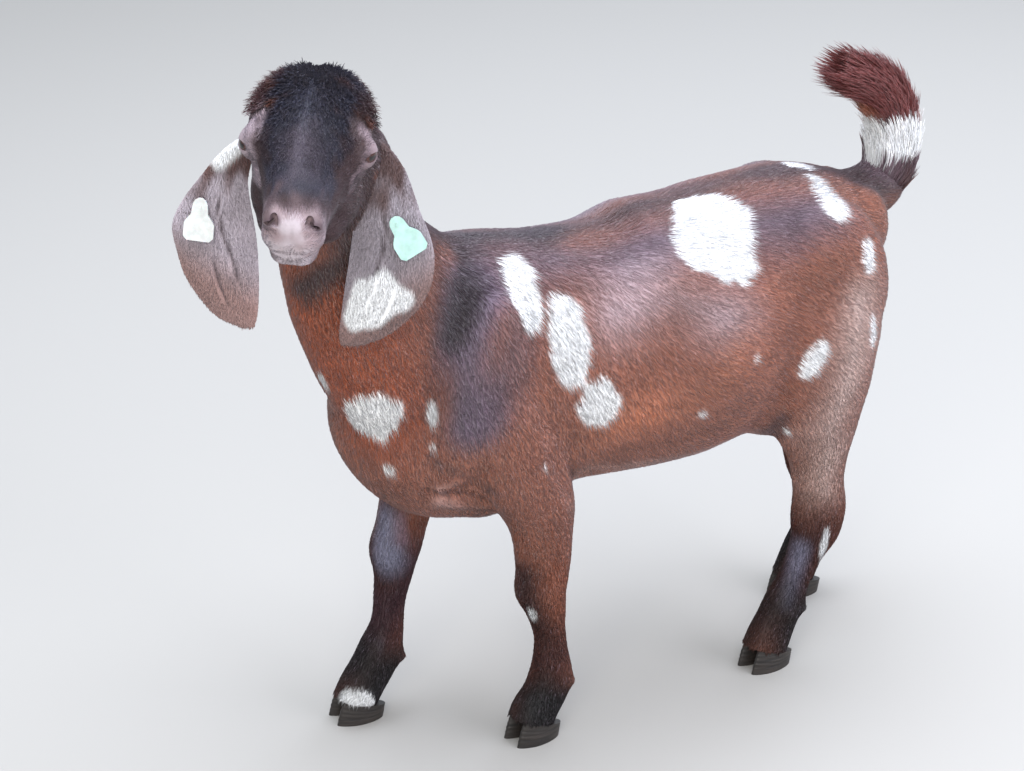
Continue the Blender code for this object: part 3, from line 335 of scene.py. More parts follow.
FAR_FORELEG = (
    (-0.158, 0.058, 0.365, 0.026, 0.040, 0.050),
    (-0.158, 0.062, 0.315, 0.032, 0.044, 0.052),
    (-0.152, 0.063, 0.265, 0.029, 0.038, 0.044),
    (-0.154, 0.062, 0.230, 0.0245, 0.032, 0.034),
    (-0.163, 0.060, 0.200, 0.0210, 0.0265, 0.0270),
    (-0.173, 0.058, 0.172, 0.0190, 0.0235, 0.0245),
    (-0.179, 0.057, 0.152, 0.0195, 0.0235, 0.0240),
    (-0.182, 0.056, 0.131, 0.0160, 0.0175, 0.0195),
    (-0.186, 0.056, 0.105, 0.0130, 0.0145, 0.0155),
    (-0.190, 0.055, 0.082, 0.0135, 0.0155, 0.0170),
    (-0.196, 0.055, 0.061, 0.0170, 0.0190, 0.0215),
    (-0.207, 0.054, 0.042, 0.0175, 0.0205, 0.0220),
    (-0.217, 0.054, 0.026, 0.0190, 0.0215, 0.0205),
)
NEAR_HINDLEG = (
    (0.160, -0.048, 0.390, 0.034, 0.060, 0.068),
    (0.165, -0.056, 0.335, 0.040, 0.070, 0.076),
    (0.170, -0.061, 0.285, 0.036, 0.060, 0.064),
    (0.176, -0.062, 0.243, 0.029, 0.045, 0.047),
    (0.182, -0.060, 0.208, 0.0225, 0.0320, 0.0300),
    (0.184, -0.058, 0.178, 0.0185, 0.0265, 0.0250),
    (0.187, -0.056, 0.150, 0.0185, 0.0280, 0.0270),
    (0.186, -0.055, 0.128, 0.0175, 0.0265, 0.0280),
    (0.176, -0.054, 0.104, 0.0145, 0.0180, 0.0185),
    (0.166, -0.053, 0.082, 0.0140, 0.0160, 0.0175),
    (0.156, -0.053, 0.062, 0.0168, 0.0180, 0.0205),
    (0.148, -0.052, 0.043, 0.0172, 0.0190, 0.0215),
    (0.141, -0.052, 0.026, 0.0188, 0.0215, 0.0205),
)
FAR_HINDLEG = (
    (0.166, 0.048, 0.390, 0.034, 0.060, 0.068),
    (0.178, 0.056, 0.335, 0.040, 0.068, 0.070),
    (0.196, 0.060, 0.285, 0.036, 0.058, 0.056),
    (0.214, 0.060, 0.243, 0.029, 0.044, 0.043),
    (0.230, 0.058, 0.208, 0.0225, 0.0310, 0.0290),
    (0.242, 0.055, 0.178, 0.0185, 0.0260, 0.0240),
    (0.252, 0.052, 0.150, 0.0185, 0.0270, 0.0265),
    (0.255, 0.050, 0.128, 0.0175, 0.0260, 0.0275),
    (0.255, 0.049, 0.104, 0.0145, 0.0175, 0.0185),
    (0.256, 0.048, 0.082, 0.0140, 0.0165, 0.0175),
    (0.256, 0.047, 0.062, 0.0168, 0.0190, 0.0205),
    (0.248, 0.046, 0.043, 0.0172, 0.0200, 0.0215),
    (0.241, 0.046, 0.026, 0.0188, 0.0215, 0.0205),
)
LEGS = {
    "foreleg_left": NEAR_FORELEG,
    "foreleg_right": FAR_FORELEG,
    "hindleg_left": NEAR_HINDLEG,
    "hindleg_right": FAR_HINDLEG,
}
# Ears, hanging from their roots: drop, middle outwards, half width, lift off the neck
EAR_LEFT = (
    (-0.006, -0.020, 0.0085, -0.010),
    (0.000, -0.009, 0.0100, -0.004),
    (0.011, 0.0025, 0.0130, 0.004),
    (0.026, 0.0060, 0.0197, 0.012),
    (0.051, 0.0095, 0.0253, 0.020),
    (0.071, 0.0125, 0.0303, 0.024),
    (0.090, 0.0125, 0.0330, 0.026),
    (0.111, 0.0090, 0.0330, 0.027),
    (0.131, 0.0020, 0.0290, 0.027),
    (0.151, -0.0100, 0.0195, 0.026),
    (0.160, -0.0190, 0.0095, 0.025),
)
EAR_RIGHT = (
    (0.000, -0.020, 0.0085, -0.010),
    (0.006, -0.008, 0.0110, -0.004),
    (0.0180, 0.0100, 0.0135, 0.003),
    (0.0380, 0.0225, 0.0185, 0.006),
    (0.0570, 0.0295, 0.0262, 0.008),
    (0.0760, 0.0325, 0.0317, 0.009),
    (0.0950, 0.0305, 0.0315, 0.010),
    (0.1200, 0.0272, 0.0285, 0.010),
    (0.1430, 0.0210, 0.0210, 0.010),
    (0.1540, 0.0165, 0.0150, 0.010),
    (0.1620, 0.0100, 0.0060, 0.010),
)
EAR_ROOT = (-0.037, 0.046, -0.006)  # in the head's frame, mirrored for the right ear
EAR_FACES = math.radians(30)  # the broad side looks this far from the left towards the front
# Middle of each foot on the ground, along and across, and the way its toes point, in degrees left of -X
FEET = {
    "foreleg_left": (-0.106, -0.052, 6),
    "foreleg_right": (-0.222, 0.054, -4),
    "hindleg_left": (0.137, -0.052, 6),
    "hindleg_right": (0.237, 0.046, -4),
}
# Head, in its own frame from the middle of the eyes: forward, crown height, jaw depth, half width, widest
HEAD = (
    (-0.074, 0.018, -0.036, 0.030, 0.5),
    (-0.062, 0.033, -0.052, 0.041, 0.55),
    (-0.042, 0.042, -0.061, 0.0470, 0.6),
    (-0.020, 0.0425, -0.064, 0.0478, 0.6),
    (0.000, 0.0390, -0.064, 0.0455, 0.6),
    (0.018, 0.0330, -0.062, 0.0395, 0.58),
    (0.036, 0.0255, -0.059, 0.0320, 0.55),
    (0.054, 0.0170, -0.0575, 0.0265, 0.52),
    (0.070, 0.0085, -0.0575, 0.0242, 0.50),
    (0.084, 0.0005, -0.0560, 0.0228, 0.48),
    (0.095, -0.0080, -0.0500, 0.0190, 0.46),
)
# Round masses in the head's frame: centre (the side one is mirrored), half sizes
HEAD_MASSES = (
    ((0.004, 0.0335, 0.003), (0.022, 0.0150, 0.0165)),  # bony rim of the eye
    ((-0.004, 0.0235, -0.037), (0.042, 0.0185, 0.029)),  # cheek
    ((0.020, 0.0170, -0.048), (0.034, 0.0185, 0.0155)),  # jaw
    ((0.086, 0.0125, -0.016), (0.0150, 0.0105, 0.0110)),  # wing of the nostril
    ((0.085, 0.0110, -0.0310), (0.0175, 0.0120, 0.0100)),  # upper lip
    ((0.074, 0.0060, -0.0500), (0.0180, 0.0130, 0.0100)),  # chin
    ((-0.030, 0.015, 0.0295), (0.0240, 0.0170, 0.0140)),  # boss over the horn bud
)
# Round masses of the body: centre, half sizes, lean about the side-to-side axis in degrees
BODY_MASSES = (
    ((-0.158, -0.052, 0.345), (0.052, 0.036, 0.088), 18),  # near shoulder
    ((-0.162, 0.052, 0.345), (0.052, 0.036, 0.088), 18),  # far shoulder
    ((-0.198, -0.022, 0.316), (0.038, 0.038, 0.058), 24),  # breast, near side
    ((-0.198, 0.022, 0.316), (0.038, 0.038, 0.058), 24),  # breast, far side
    ((0.180, -0.048, 0.355), (0.070, 0.042, 0.088), -6),  # near thigh
    ((0.186, 0.048, 0.355), (0.068, 0.042, 0.088), -8),  # far thigh
    ((0.126, -0.054, 0.288), (0.046, 0.030, 0.056), -24),  # near stifle
    ((0.150, 0.054, 0.300), (0.046, 0.030, 0.052), -26),  # far stifle
    ((0.236, -0.026, 0.395), (0.029, 0.025, 0.040), 0),  # near pin bone
    ((0.236, 0.026, 0.395), (0.029, 0.025, 0.040), 0),  # far pin bone
    ((0.220, -0.036, 0.345), (0.032, 0.028, 0.056), 6),  # near buttock
    ((0.220, 0.036, 0.345), (0.032, 0.028, 0.056), 6),  # far buttock
)
DEWCLAW_SIZE = (0.0045, 0.0050, 0.0065)
DEWCLAW_SPREAD = 0.0085
# Tail under its hair: axis point, half width, half depth
TAIL = (
    (0.205, 0.0, 0.425, 0.030, 0.022),
    (0.247, 0.0, 0.413, 0.027, 0.024),
    (0.277, 0.0, 0.422, 0.025, 0.024),
    (0.288, 0.0, 0.448, 0.021, 0.019),
    (0.289, 0.0, 0.473, 0.017, 0.016),
    (0.280, 0.0, 0.498, 0.014, 0.013),
    (0.258, 0.0, 0.518, 0.008, 0.008),
)


def mirrored(*rows):
    """Rows of a table that end with a line of points, and after them the same rows for the other side."""
    return (*rows, *((*row[:-1], tuple((x, -y, z) for x, y, z in row[-1])) for row in rows))


def spline(rows, steps):
    """Rows between the given ones on a Catmull-Rom curve, every column alike."""
    rows = np.array(rows, float)
    ends = np.vstack([2 * rows[0] - rows[1], rows, 2 * rows[-1] - rows[-2]])
    found = []
    for a, b, c, d in zip(ends, ends[1:], ends[2:], ends[3:]):
        for t in np.arange(steps) / steps:
            square, cube = (2 * a - 5 * b + 4 * c - d) * t**2, (3 * b - a - 3 * c + d) * t**3
            found.append(0.5 * (2 * b + (c - a) * t + square + cube))
    return np.array(found + [rows[-1]])


def skin_rings(shape, rings, ends=None, flat=False):
    """Closes a row of rings of points into one body, with a point at each end, or flat ends."""
    rows = [[shape.verts.new(p) for p in ring] for ring in rings]
    count = len(rows[0])
    for near, far in zip(rows, rows[1:]):
        for i in range(count):
            j = (i + 1) % count
            shape.faces.new((near[i], near[j], far[j], far[i]))
    for n, (row, turn) in enumerate(((rows[0], -1), (rows[-1], 1))):
        if flat:
            shape.faces.new(row)
            continue
        middle = shape.verts.new(ends[n] if ends else sum((v.co for v in row), Vector()) / count)
        for i in range(count):
            corners = (row[i], row[(i + 1) % count], middle)
            shape.faces.new(corners[::turn])


def loft(shape, rows, up, sides=20, steps=4):
    """A closed tube through rows of (x, y, z, half width, reach up, reach down), with round ends."""
    rows = spline(rows, steps)
    points = rows[:, :3]
    along = np.gradient(points, axis=0)
    rings = []
    round_off = [math.radians(a) for a in (75, 50, 25)]
    for n, (row, way) in enumerate(zip(rows, along)):
        way = Vector(way).normalized()
        side = way.cross(Vector(up)).normalized()
        top = side.cross(way)
        wide, above, below = row[3:6]
        turns = [0.0]
        if n == 0:
            turns = [-a for a in round_off] + turns
        if n == len(rows) - 1:
            turns = turns + list(reversed(round_off))
        reach = 0.5 * min(wide, above + below)
        for turn in turns:
            size = math.cos(turn)
            centre = Vector(row[:3]) + way * (reach * math.sin(turn))
            ring = []
            for i in range(sides):
                a = 2 * math.pi * i / sides
                across = wide * size * math.cos(a)
                lift = math.sin(a)
                ring.append(centre + side * across + top * ((above if lift > 0 else below) * size * lift))
            rings.append(ring)
    skin_rings(shape, rings)


def section_rows(stations, place):
    """Loft rows from (along, top, bottom, half width, widest share); place(along, height) sets each one."""
    rows = []
    for along, top, bottom, wide, share in stations:
        level = bottom + (top - bottom) * share
        rows.append((*place(along, level), wide, top - level, level - bottom))
    return rows


def ball(shape, centre, sizes, turn=None, detail=16):
    """A round mass with three half sizes, turned by a matrix, its points always in the same order."""
    turn = (turn or Matrix.Identity(3)).to_4x4()
    matrix = Matrix.Translation(centre) @ turn @ Matrix.Diagonal((*sizes, 1.0))
    levels = detail // 2 + 2
    rings = []
    for n in range(1, levels):
        fall = math.pi * n / levels
        ring = []
        for i in range(detail):
            a = 2 * math.pi * i / detail
            spot = Vector((math.sin(fall) * math.cos(a), math.sin(fall) * math.sin(a), math.cos(fall)))
            ring.append(matrix @ spot)
        rings.append(ring)
    skin_rings(shape, rings, (matrix @ Vector((0, 0, 1)), matrix @ Vector((0, 0, -1))))


def head_axes():
    """The head's forward, left and up directions."""
    forward = Vector((
        -math.cos(HEAD_YAW) * math.cos(HEAD_PITCH),
        -math.sin(HEAD_YAW) * math.cos(HEAD_PITCH),
        -math.sin(HEAD_PITCH),
    ))
    left = Vector((0, 0, 1)).cross(forward).normalized()
    left.rotate(Matrix.Rotation(-HEAD_ROLL, 3, forward))
    return forward, left, forward.cross(left)


FORWARD, LEFT, UP = head_axes()
HEAD_TURN = Matrix((FORWARD, LEFT, UP)).transposed()


def on_head(forward, left, up):
    """A place given in the head's frame."""
    return EYES_MIDDLE + FORWARD * forward + LEFT * left + UP * up


def finished(shape, name):
    """A mesh object from a bmesh, with its faces pointing out."""
    bmesh.ops.recalc_face_normals(shape, faces=shape.faces)
    mesh = bpy.data.meshes.new(name)
    shape.to_mesh(mesh)
    shape.free()
    obj = bpy.data.objects.new(name, mesh)
    bpy.context.scene.collection.objects.link(obj)
    return obj


def applied(obj):
    """Turns the evaluated mesh of an object into its own mesh and drops its modifiers."""
    bpy.context.view_layer.update()
    graph = bpy.context.evaluated_depsgraph_get()
    mesh = bpy.data.meshes.new_from_object(obj.evaluated_get(graph), depsgraph=graph)
    obj.modifiers.clear()
    obj.data = mesh
    return obj


def foot_ways(name):
    """The foot's toe direction, its left direction and the down direction square to the coronet."""
    toe = Vector((-1, 0, 0))
    toe.rotate(Matrix.Rotation(math.radians(FEET[name][2]), 3, "Z"))
    left = Vector((0, 0, 1)).cross(toe)
    down = Vector((0, 0, -1))
    down.rotate(Matrix.Rotation(-CORONET_SLOPE, 3, left))
    return toe, left, down


def surface_of(obj):
    """A search tree of an object's faces."""
    return BVHTree.FromPolygons([v.co for v in obj.data.vertices], [p.vertices for p in obj.data.polygons])


def ear_frame(side):
    """The ear's root, the way out along its width and the way its broad side looks; side 1 is the left."""
    along, out, height = EAR_ROOT
    faces = Vector((-math.sin(EAR_FACES), -math.cos(EAR_FACES), 0.0))
    across = Vector((-faces.y, faces.x, 0.0)) * side
    return on_head(along, side * out, height), across, faces


def ear_point(side, row, share, inward=0.0):
    """A point of the ear's outer surface, or one that far inside it."""
    root, across, faces = ear_frame(side)
    drop, middle, half, lift = row
    cup = EAR_CUP * 2 * half * (1 - share * share)
    return root + Vector((0, 0, -drop)) + across * (middle + half * share) + faces * (lift + cup - inward)


def eye_frame(side):
    """The middle of an eyeball, and the way it looks."""
    looks = FORWARD * math.cos(EYE_TURN) + LEFT * (side * math.sin(EYE_TURN))
    return on_head(EYE_FORWARD, side * EYE_SIDE, 0.0), looks


def sphere(centre, radius, name, detail=20):
    """A ball of that radius."""
    shape = bmesh.new()
    ball(shape, centre, (radius, radius, radius), detail=detail)
    return finished(shape, name)


def almond(side):
    """A lens-shaped bar that opens the lids in front of the eyeball."""
    centre, looks = eye_frame(side)
    along = UP.cross(looks).normalized()
    height = looks.cross(along)
    long, high = LID_OPENING
    rings = []
    for reach, size in OPENING_RINGS:
        middle = centre + looks * (EYE_RADIUS * reach)
        ring = []
        for i in range(14):
            a = 2 * math.pi * i / 14
            lift = math.sin(a) * abs(math.sin(a)) ** 0.25
            ring.append(middle + (along * (long * math.cos(a)) + height * (high * lift)) * size)
        rings.append(ring)
    shape = bmesh.new()
    skin_rings(shape, rings)
    return finished(shape, "almond")


def mouth_groove(head):
    """A thin round bar laid along the lips from corner to corner."""
    tree = surface_of(head)
    line = []
    forward, up = MOUTH_CENTRE
    for i in range(MOUTH_STEPS + 1):
        a = MOUTH_CORNER * (2 * i / MOUTH_STEPS - 1)
        start = on_head(forward, 0.0, up - MOUTH_FALL * abs(math.sin(a)))
        hit = tree.ray_cast(start, FORWARD * math.cos(a) + LEFT * math.sin(a))[0]
        line.append((*hit, MOUTH_DEPTH, MOUTH_DEPTH, MOUTH_DEPTH))
    shape = bmesh.new()
    loft(shape, line, up=UP, sides=6, steps=1)
    return finished(shape, "mouth")


def nostril(side):
    """A comma-shaped hollow: a round front with a tail drawn out to the side."""
    shape = bmesh.new()
    tilt = Matrix.Rotation(-NOSTRIL_TURN * side, 3, "X") @ Matrix.Rotation(NOSTRIL_TURN * side, 3, "Z")
    forward, out, up = NOSTRIL_CENTRE
    ball(shape, on_head(forward, side * out, up), NOSTRIL_SIZE, HEAD_TURN @ tilt, detail=24)
    round_one = finished(shape, "nostril")
    shape = bmesh.new()
    lean = Matrix.Rotation(math.radians(55) * side, 3, "X")
    place = on_head(forward - 0.003, side * (out + 0.0042), up - 0.0036)
    ball(shape, place, NOSTRIL_TAIL, HEAD_TURN @ lean, detail=24)
    return cut(round_one, finished(shape, "tail"), "UNION")


# Folds of the skin: height, width and middle line, on the body and in the head's frame
BODY_FOLDS = (
    (-0.0030, 0.0045, ((-0.204, -0.058, 0.266), (-0.177, -0.064, 0.260), (-0.154, -0.067, 0.246))),
    (0.0032, 0.0070, ((-0.195, -0.056, 0.254), (-0.176, -0.056, 0.246), (-0.155, -0.056, 0.239))),
    (0.0028, 0.0060, ((-0.199, -0.063, 0.270), (-0.189, -0.070, 0.277))),
    (-0.0024, 0.0045, ((-0.088, -0.086, 0.300), (-0.083, -0.080, 0.270), (-0.075, -0.070, 0.250))),
    (-0.0022, 0.0060, ((-0.185, -0.075, 0.245), (-0.172, -0.080, 0.275), (-0.165, -0.078, 0.300))),
    (0.0016, 0.0080, ((-0.196, -0.070, 0.240), (-0.183, -0.078, 0.270), (-0.178, -0.078, 0.300))),
    (-0.0020, 0.0060, ((-0.075, -0.080, 0.235), (-0.095, -0.085, 0.260), (-0.110, -0.088, 0.290))),
    (-0.0020, 0.0060, ((0.090, -0.085, 0.245), (0.105, -0.092, 0.280), (0.118, -0.092, 0.310))),
)
HEAD_FOLDS = mirrored(
    (0.0018, 0.0070, ((-0.014, 0.042, 0.014), (0.010, 0.041, 0.013), (0.024, 0.034, 0.002))),
    (-0.0014, 0.0040, ((0.020, 0.036, -0.008), (0.040, 0.028, -0.020))),
    (-0.0012, 0.0040, ((0.014, 0.040, -0.018), (-0.010, 0.046, -0.018))),
    (0.0012, 0.0026, ((0.1000, 0.0130, -0.0060), (0.0960, 0.0195, -0.0110), (0.0920, 0.0200, -0.0200))),
    (0.0012, 0.0050, ((0.1000, 0.0090, -0.0310), (0.0850, 0.0190, -0.0340))),
    (-0.0010, 0.0026, ((0.1000, 0.0110, -0.0220), (0.0930, 0.0190, -0.0255))),
) + (
    (-0.0013, 0.0017, ((0.1050, 0.0, -0.0150), (0.1050, 0.0, -0.0340))),
)
# Markings in the order they are laid: colour, radius, softness of the edge and middle line. Zones of the coat
# come first, those of the head in its own frame, and the white spots last.
ZONES = (
    (RUST, 0.050, 0.050, ((-0.300, -0.040, 0.455), (-0.275, -0.045, 0.405), (-0.235, -0.040, 0.350))),
    (RUST, 0.030, 0.060, ((-0.150, 0.0, 0.215), (0.060, 0.0, 0.215))),
    *mirrored(
        # Painted violet sheen on the brown of the upper back
        (BACK_BROWN_SHEEN, 0.024, 0.060, ((-0.120, -0.035, 0.443), (0.000, -0.045, 0.436), (0.170, -0.055, 0.433))),
        # Painted highlight on the flank
        (FLANK_SHINE, 0.015, 0.075, (
            (-0.045, -0.075, 0.398), (0.010, -0.082, 0.402), (0.056, -0.094, 0.374),
        )),
    ),
    (DEEP_BROWN, 0.020, 0.046, (
        (-0.15, 0.0, 0.455), (0.00, 0.0, 0.450), (0.12, 0.0, 0.462), (0.24, 0.0, 0.440),
    )),
    *mirrored((NECK_SHADE, 0.008, 0.040, (
        (-0.188, -0.048, 0.454), (-0.200, -0.062, 0.419), (-0.208, -0.067, 0.370), (-0.205, -0.072, 0.335),
    ))),
    (SHOULDER, 0.018, 0.036, ((-0.168, 0.000, 0.465), (-0.063, 0.000, 0.450))),
    *mirrored(
        (SHOULDER_EDGE, 0.020, 0.060, (
            (-0.120, -0.040, 0.440), (-0.140, -0.080, 0.390), (-0.165, -0.087, 0.350),
        )),
        # Painted violet-grey sheen down the shoulder
        (SHOULDER_SHINE, 0.024, 0.034, (
            (-0.160, -0.040, 0.440), (-0.178, -0.070, 0.385), (-0.187, -0.084, 0.335),
        )),
        (SHOULDER, 0.013, 0.034, ((-0.158, -0.020, 0.455), (-0.176, -0.050, 0.424), (-0.186, -0.060, 0.404))),
    ),
    (DEEP_BROWN, 0.035, 0.030, ((-0.240, -0.010, 0.500), (-0.190, 0.0, 0.470))),
    # Painted highlights down the thighs
    (THIGH_SHINE, 0.016, 0.060, (
        (0.196, -0.088, 0.359), (0.183, -0.096, 0.299), (0.169, -0.090, 0.243), (0.180, -0.075, 0.175),
    )),
    (THIGH_SHINE, 0.016, 0.060, (
        (0.206, 0.088, 0.359), (0.200, 0.096, 0.299), (0.205, 0.090, 0.243), (0.230, 0.077, 0.195),
    )),
    *mirrored((BELLY, 0.010, 0.060, (
        (-0.065, -0.092, 0.302), (0.023, -0.106, 0.314), (0.064, -0.102, 0.345),
    ))),
    *mirrored((BELLY_EDGE, 0.004, 0.026, (
        (-0.064, -0.074, 0.256), (-0.005, -0.074, 0.244), (0.050, -0.068, 0.238), (0.100, -0.060, 0.245),
    ))),
    # Painted shade: a dark line from the small chest spot down to the elbow
    (DEEP_BROWN, 0.002, 0.016, (
        (-0.210, -0.067, 0.308), (-0.202, -0.070, 0.297), (-0.184, -0.076, 0.285), (-0.160, -0.078, 0.263),
    )),
    # Painted shade in the chest fold's groove
    (DEEP_BROWN, 0.001, 0.010, ((-0.204, -0.058, 0.266), (-0.177, -0.064, 0.260), (-0.154, -0.067, 0.246))),
    # Painted highlights along the crests of the chest folds
    (FOLD_HIGHLIGHT, 0.003, 0.018, ((-0.195, -0.056, 0.254), (-0.176, -0.056, 0.246), (-0.155, -0.056, 0.239))),
    (FOLD_HIGHLIGHT, 0.002, 0.014, ((-0.199, -0.063, 0.270), (-0.189, -0.070, 0.277))),
    # Painted shade in the elbow groove and in the crease before the stifle
    (DEEP_BROWN, 0.001, 0.014, ((-0.088, -0.086, 0.300), (-0.083, -0.080, 0.270), (-0.075, -0.070, 0.250))),
    (DEEP_BROWN, 0.004, 0.026, ((0.118, -0.070, 0.250), (0.124, -0.078, 0.262))),
    # Dark brown and painted shade from the throat up under the ear
    (THROAT_BROWN_AND_SHADE, 0.012, 0.024, (
        (-0.311, -0.044, 0.466), (-0.300, -0.060, 0.480), (-0.287, -0.071, 0.492), (-0.281, -0.078, 0.518),
        (-0.298, -0.105, 0.555),
    )),
    (DARK_LEG, 0.026, 0.060, ((-0.090, -0.056, 0.085), (-0.100, -0.055, 0.03))),
    (DARK_LEG, 0.017, 0.026, ((-0.122, -0.066, 0.172), (-0.120, -0.066, 0.146), (-0.108, -0.060, 0.120))),
    (DARK_LEG, 0.006, 0.024, ((-0.108, -0.060, 0.120), (-0.105, -0.055, 0.080))),
    (FAR_LEG, 0.034, 0.050, ((-0.182, 0.060, 0.150), (-0.210, 0.055, 0.05))),
    (DARK_LEG, 0.032, 0.060, ((0.180, -0.060, 0.130), (0.145, -0.055, 0.04))),
    (DARK_LEG, 0.032, 0.060, ((0.250, 0.055, 0.130), (0.245, 0.050, 0.04))),
    (DARK_LEG, 0.010, 0.030, ((-0.190, 0.050, 0.205), (-0.196, 0.050, 0.140))),
    # Painted blue-grey sheen on the far knee
    (LEG_SHEEN, 0.012, 0.022, ((-0.192, 0.044, 0.188), (-0.192, 0.042, 0.155))),
    (KNEE_PINK, 0.004, 0.016, ((-0.179, 0.042, 0.192), (-0.179, 0.040, 0.172))),
    # Painted sheen on the far cannon and the near hind cannon
    (LEG_SHEEN, 0.003, 0.018, ((-0.201, 0.042, 0.073), (-0.203, 0.041, 0.065))),
    (LEG_SHEEN, 0.005, 0.024, ((0.162, -0.068, 0.115), (0.150, -0.068, 0.065))),
    (FOOT_BLACK, 0.033, 0.026, ((-0.098, -0.053, 0.028), (-0.110, -0.052, 0.010))),
    (FOOT_BLACK, 0.033, 0.030, ((-0.204, 0.055, 0.048), (-0.225, 0.054, 0.010))),
    (FOOT_BLACK, 0.028, 0.040, ((0.152, -0.053, 0.052), (0.137, -0.052, 0.010))),
    (FOOT_BLACK, 0.028, 0.040, ((0.250, 0.049, 0.052), (0.237, 0.046, 0.010))),
    (DEEP_BROWN, 0.034, 0.020, ((0.255, 0.0, 0.425), (0.285, 0.0, 0.445))),
    (BRUSH, 0.040, 0.006, ((0.300, -0.02, 0.518), (0.250, 0.0, 0.540), (0.300, 0.02, 0.518))),
    (TAIL_GREY, 0.022, 0.020, ((0.275, 0.0, 0.435), (0.290, 0.0, 0.450))),
    (WHITE, 0.0165, 0.004, ((0.250, -0.030, 0.460), (0.330, -0.030, 0.462))),
    (WHITE, 0.0165, 0.004, ((0.250, 0.0, 0.461), (0.330, 0.0, 0.463))),
    (WHITE, 0.0165, 0.004, ((0.250, 0.030, 0.462), (0.330, 0.030, 0.464))),
)
HEAD_ZONES = (
    (DEEP_BROWN, 0.060, 0.020, ((-0.030, 0.0, -0.010), (0.060, 0.0, -0.010))),
    # Dark brown and painted shade under the jaw's rear
    *mirrored((THROAT_BROWN_AND_SHADE, 0.018, 0.026, ((-0.005, 0.047, -0.046), (-0.050, 0.042, -0.040)))),
    # Black forehead and poll, with a painted blue-grey sheen in the colour
    (BLACK, 0.029, 0.020, (
        (-0.060, 0.0, 0.042), (-0.020, 0.0, 0.044), (0.028, 0.0, 0.026), (0.064, 0.0, 0.010),
    )),
    (BRIDGE, 0.014, 0.030, ((0.040, 0.0, 0.024), (0.066, 0.0, 0.008))),
    (LID_SKIN, 0.0130, 0.013, ((0.002, 0.045, 0.010), (0.012, 0.043, -0.010))),
    (BROW_SKIN, 0.0150, 0.012, ((-0.004, -0.046, 0.015), (0.012, -0.043, 0.002), (0.020, -0.041, -0.014))),
    (MAROON, 0.014, 0.014, ((-0.042, -0.036, 0.036), (-0.026, -0.046, 0.018))),
    (MUZZLE_EDGE, 0.0340, 0.012, ((0.100, 0.0, -0.032), (0.094, 0.0, -0.032))),
    (MUZZLE, 0.0265, 0.012, ((0.101, 0.0, -0.032), (0.090, 0.0, -0.036))),
    # The pale chin colour down the middle of the nose pad, as a painted highlight
    (PALE_CHIN, 0.0060, 0.012, ((0.107, 0.0, -0.010), (0.106, 0.0, -0.034))),
    (PALE_CHIN, 0.0130, 0.014, ((0.100, 0.0, -0.036), (0.092, 0.0, -0.056))),
    # Painted shade in the nostril hollows
    *mirrored((NOSTRIL_SHADE, 0.0040, 0.004, ((0.0985, 0.0130, -0.0140), (0.0955, 0.0175, -0.0180)))),
    # Dark brown and painted shade under the chin
    (THROAT_BROWN_AND_SHADE, 0.014, 0.014, ((0.060, 0.0, -0.070), (0.010, 0.0, -0.072))),
)
SPOTS = (
    (0.0205, ((0.062, -0.022, 0.447), (0.094, -0.038, 0.443))),  # loin
    (0.0205, ((0.043, -0.048, 0.436), (0.088, -0.056, 0.430))),
    (0.0200, ((0.052, -0.062, 0.426), (0.079, -0.074, 0.412))),
    (0.0185, ((0.068, -0.026, 0.446), (0.068, -0.058, 0.430))),
    (0.0105, ((0.034, -0.062, 0.427), (0.046, -0.070, 0.418))),
    (0.0105, ((0.042, -0.038, 0.441), (0.050, -0.028, 0.445))),
    (0.0152, ((-0.118, -0.037, 0.443), (-0.118, -0.068, 0.406))),
    (0.0172, ((-0.088, -0.066, 0.411), (-0.089, -0.088, 0.358))),
    (0.0192, ((-0.068, -0.093, 0.336), (-0.068, -0.093, 0.319))),
    (0.0248, ((-0.257, -0.040, 0.339), (-0.246, -0.052, 0.344))),  # chest
    (0.0062, ((-0.207, -0.066, 0.349), (-0.208, -0.068, 0.334))),
    (0.0030, ((-0.208, -0.068, 0.314), (-0.208, -0.068, 0.313))),
    (0.0056, ((-0.237, -0.046, 0.291), (-0.237, -0.046, 0.288))),
    (0.0062, ((-0.285, -0.020, 0.377), (-0.279, -0.017, 0.364))),
    (0.0118, ((0.182, 0.012, 0.456), (0.192, 0.000, 0.454))),
    (0.0132, ((0.187, -0.026, 0.448), (0.185, -0.063, 0.436))),  # rump
    (0.0088, ((0.210, -0.076, 0.403), (0.207, -0.083, 0.387))),
    (0.0112, ((0.139, -0.094, 0.308), (0.151, -0.095, 0.326))),  # thigh
    (0.0052, ((0.212, -0.087, 0.338), (0.213, -0.087, 0.316))),
    (0.0046, ((0.132, -0.076, 0.246), (0.132, -0.076, 0.245))),
    (0.0042, ((0.185, -0.073, 0.133), (0.188, -0.068, 0.100))),  # hock
    (0.0048, ((-0.116, -0.067, 0.135), (-0.111, -0.062, 0.126))),  # knee
    (0.0122, ((-0.237, 0.044, 0.028), (-0.221, 0.037, 0.021))),  # pastern
    (0.0030, ((0.082, -0.101, 0.338), (0.083, -0.101, 0.333))),
    (0.0034, ((0.025, -0.104, 0.300), (0.030, -0.104, 0.298))),
    (0.0018, ((-0.118, -0.090, 0.285), (-0.117, -0.090, 0.280))),
    (0.0200, ((0.010, 0.098, 0.360), (0.025, 0.099, 0.340))),  # far side, unseen in the photograph
    (0.0110, ((-0.100, 0.080, 0.380), (-0.094, 0.090, 0.345))),
    (0.0140, ((0.120, 0.072, 0.420), (0.140, 0.072, 0.410))),
    (0.0080, ((0.170, 0.094, 0.330), (0.173, 0.094, 0.310))),
    (0.0060, ((-0.150, 0.080, 0.300), (-0.150, 0.080, 0.290))),
)
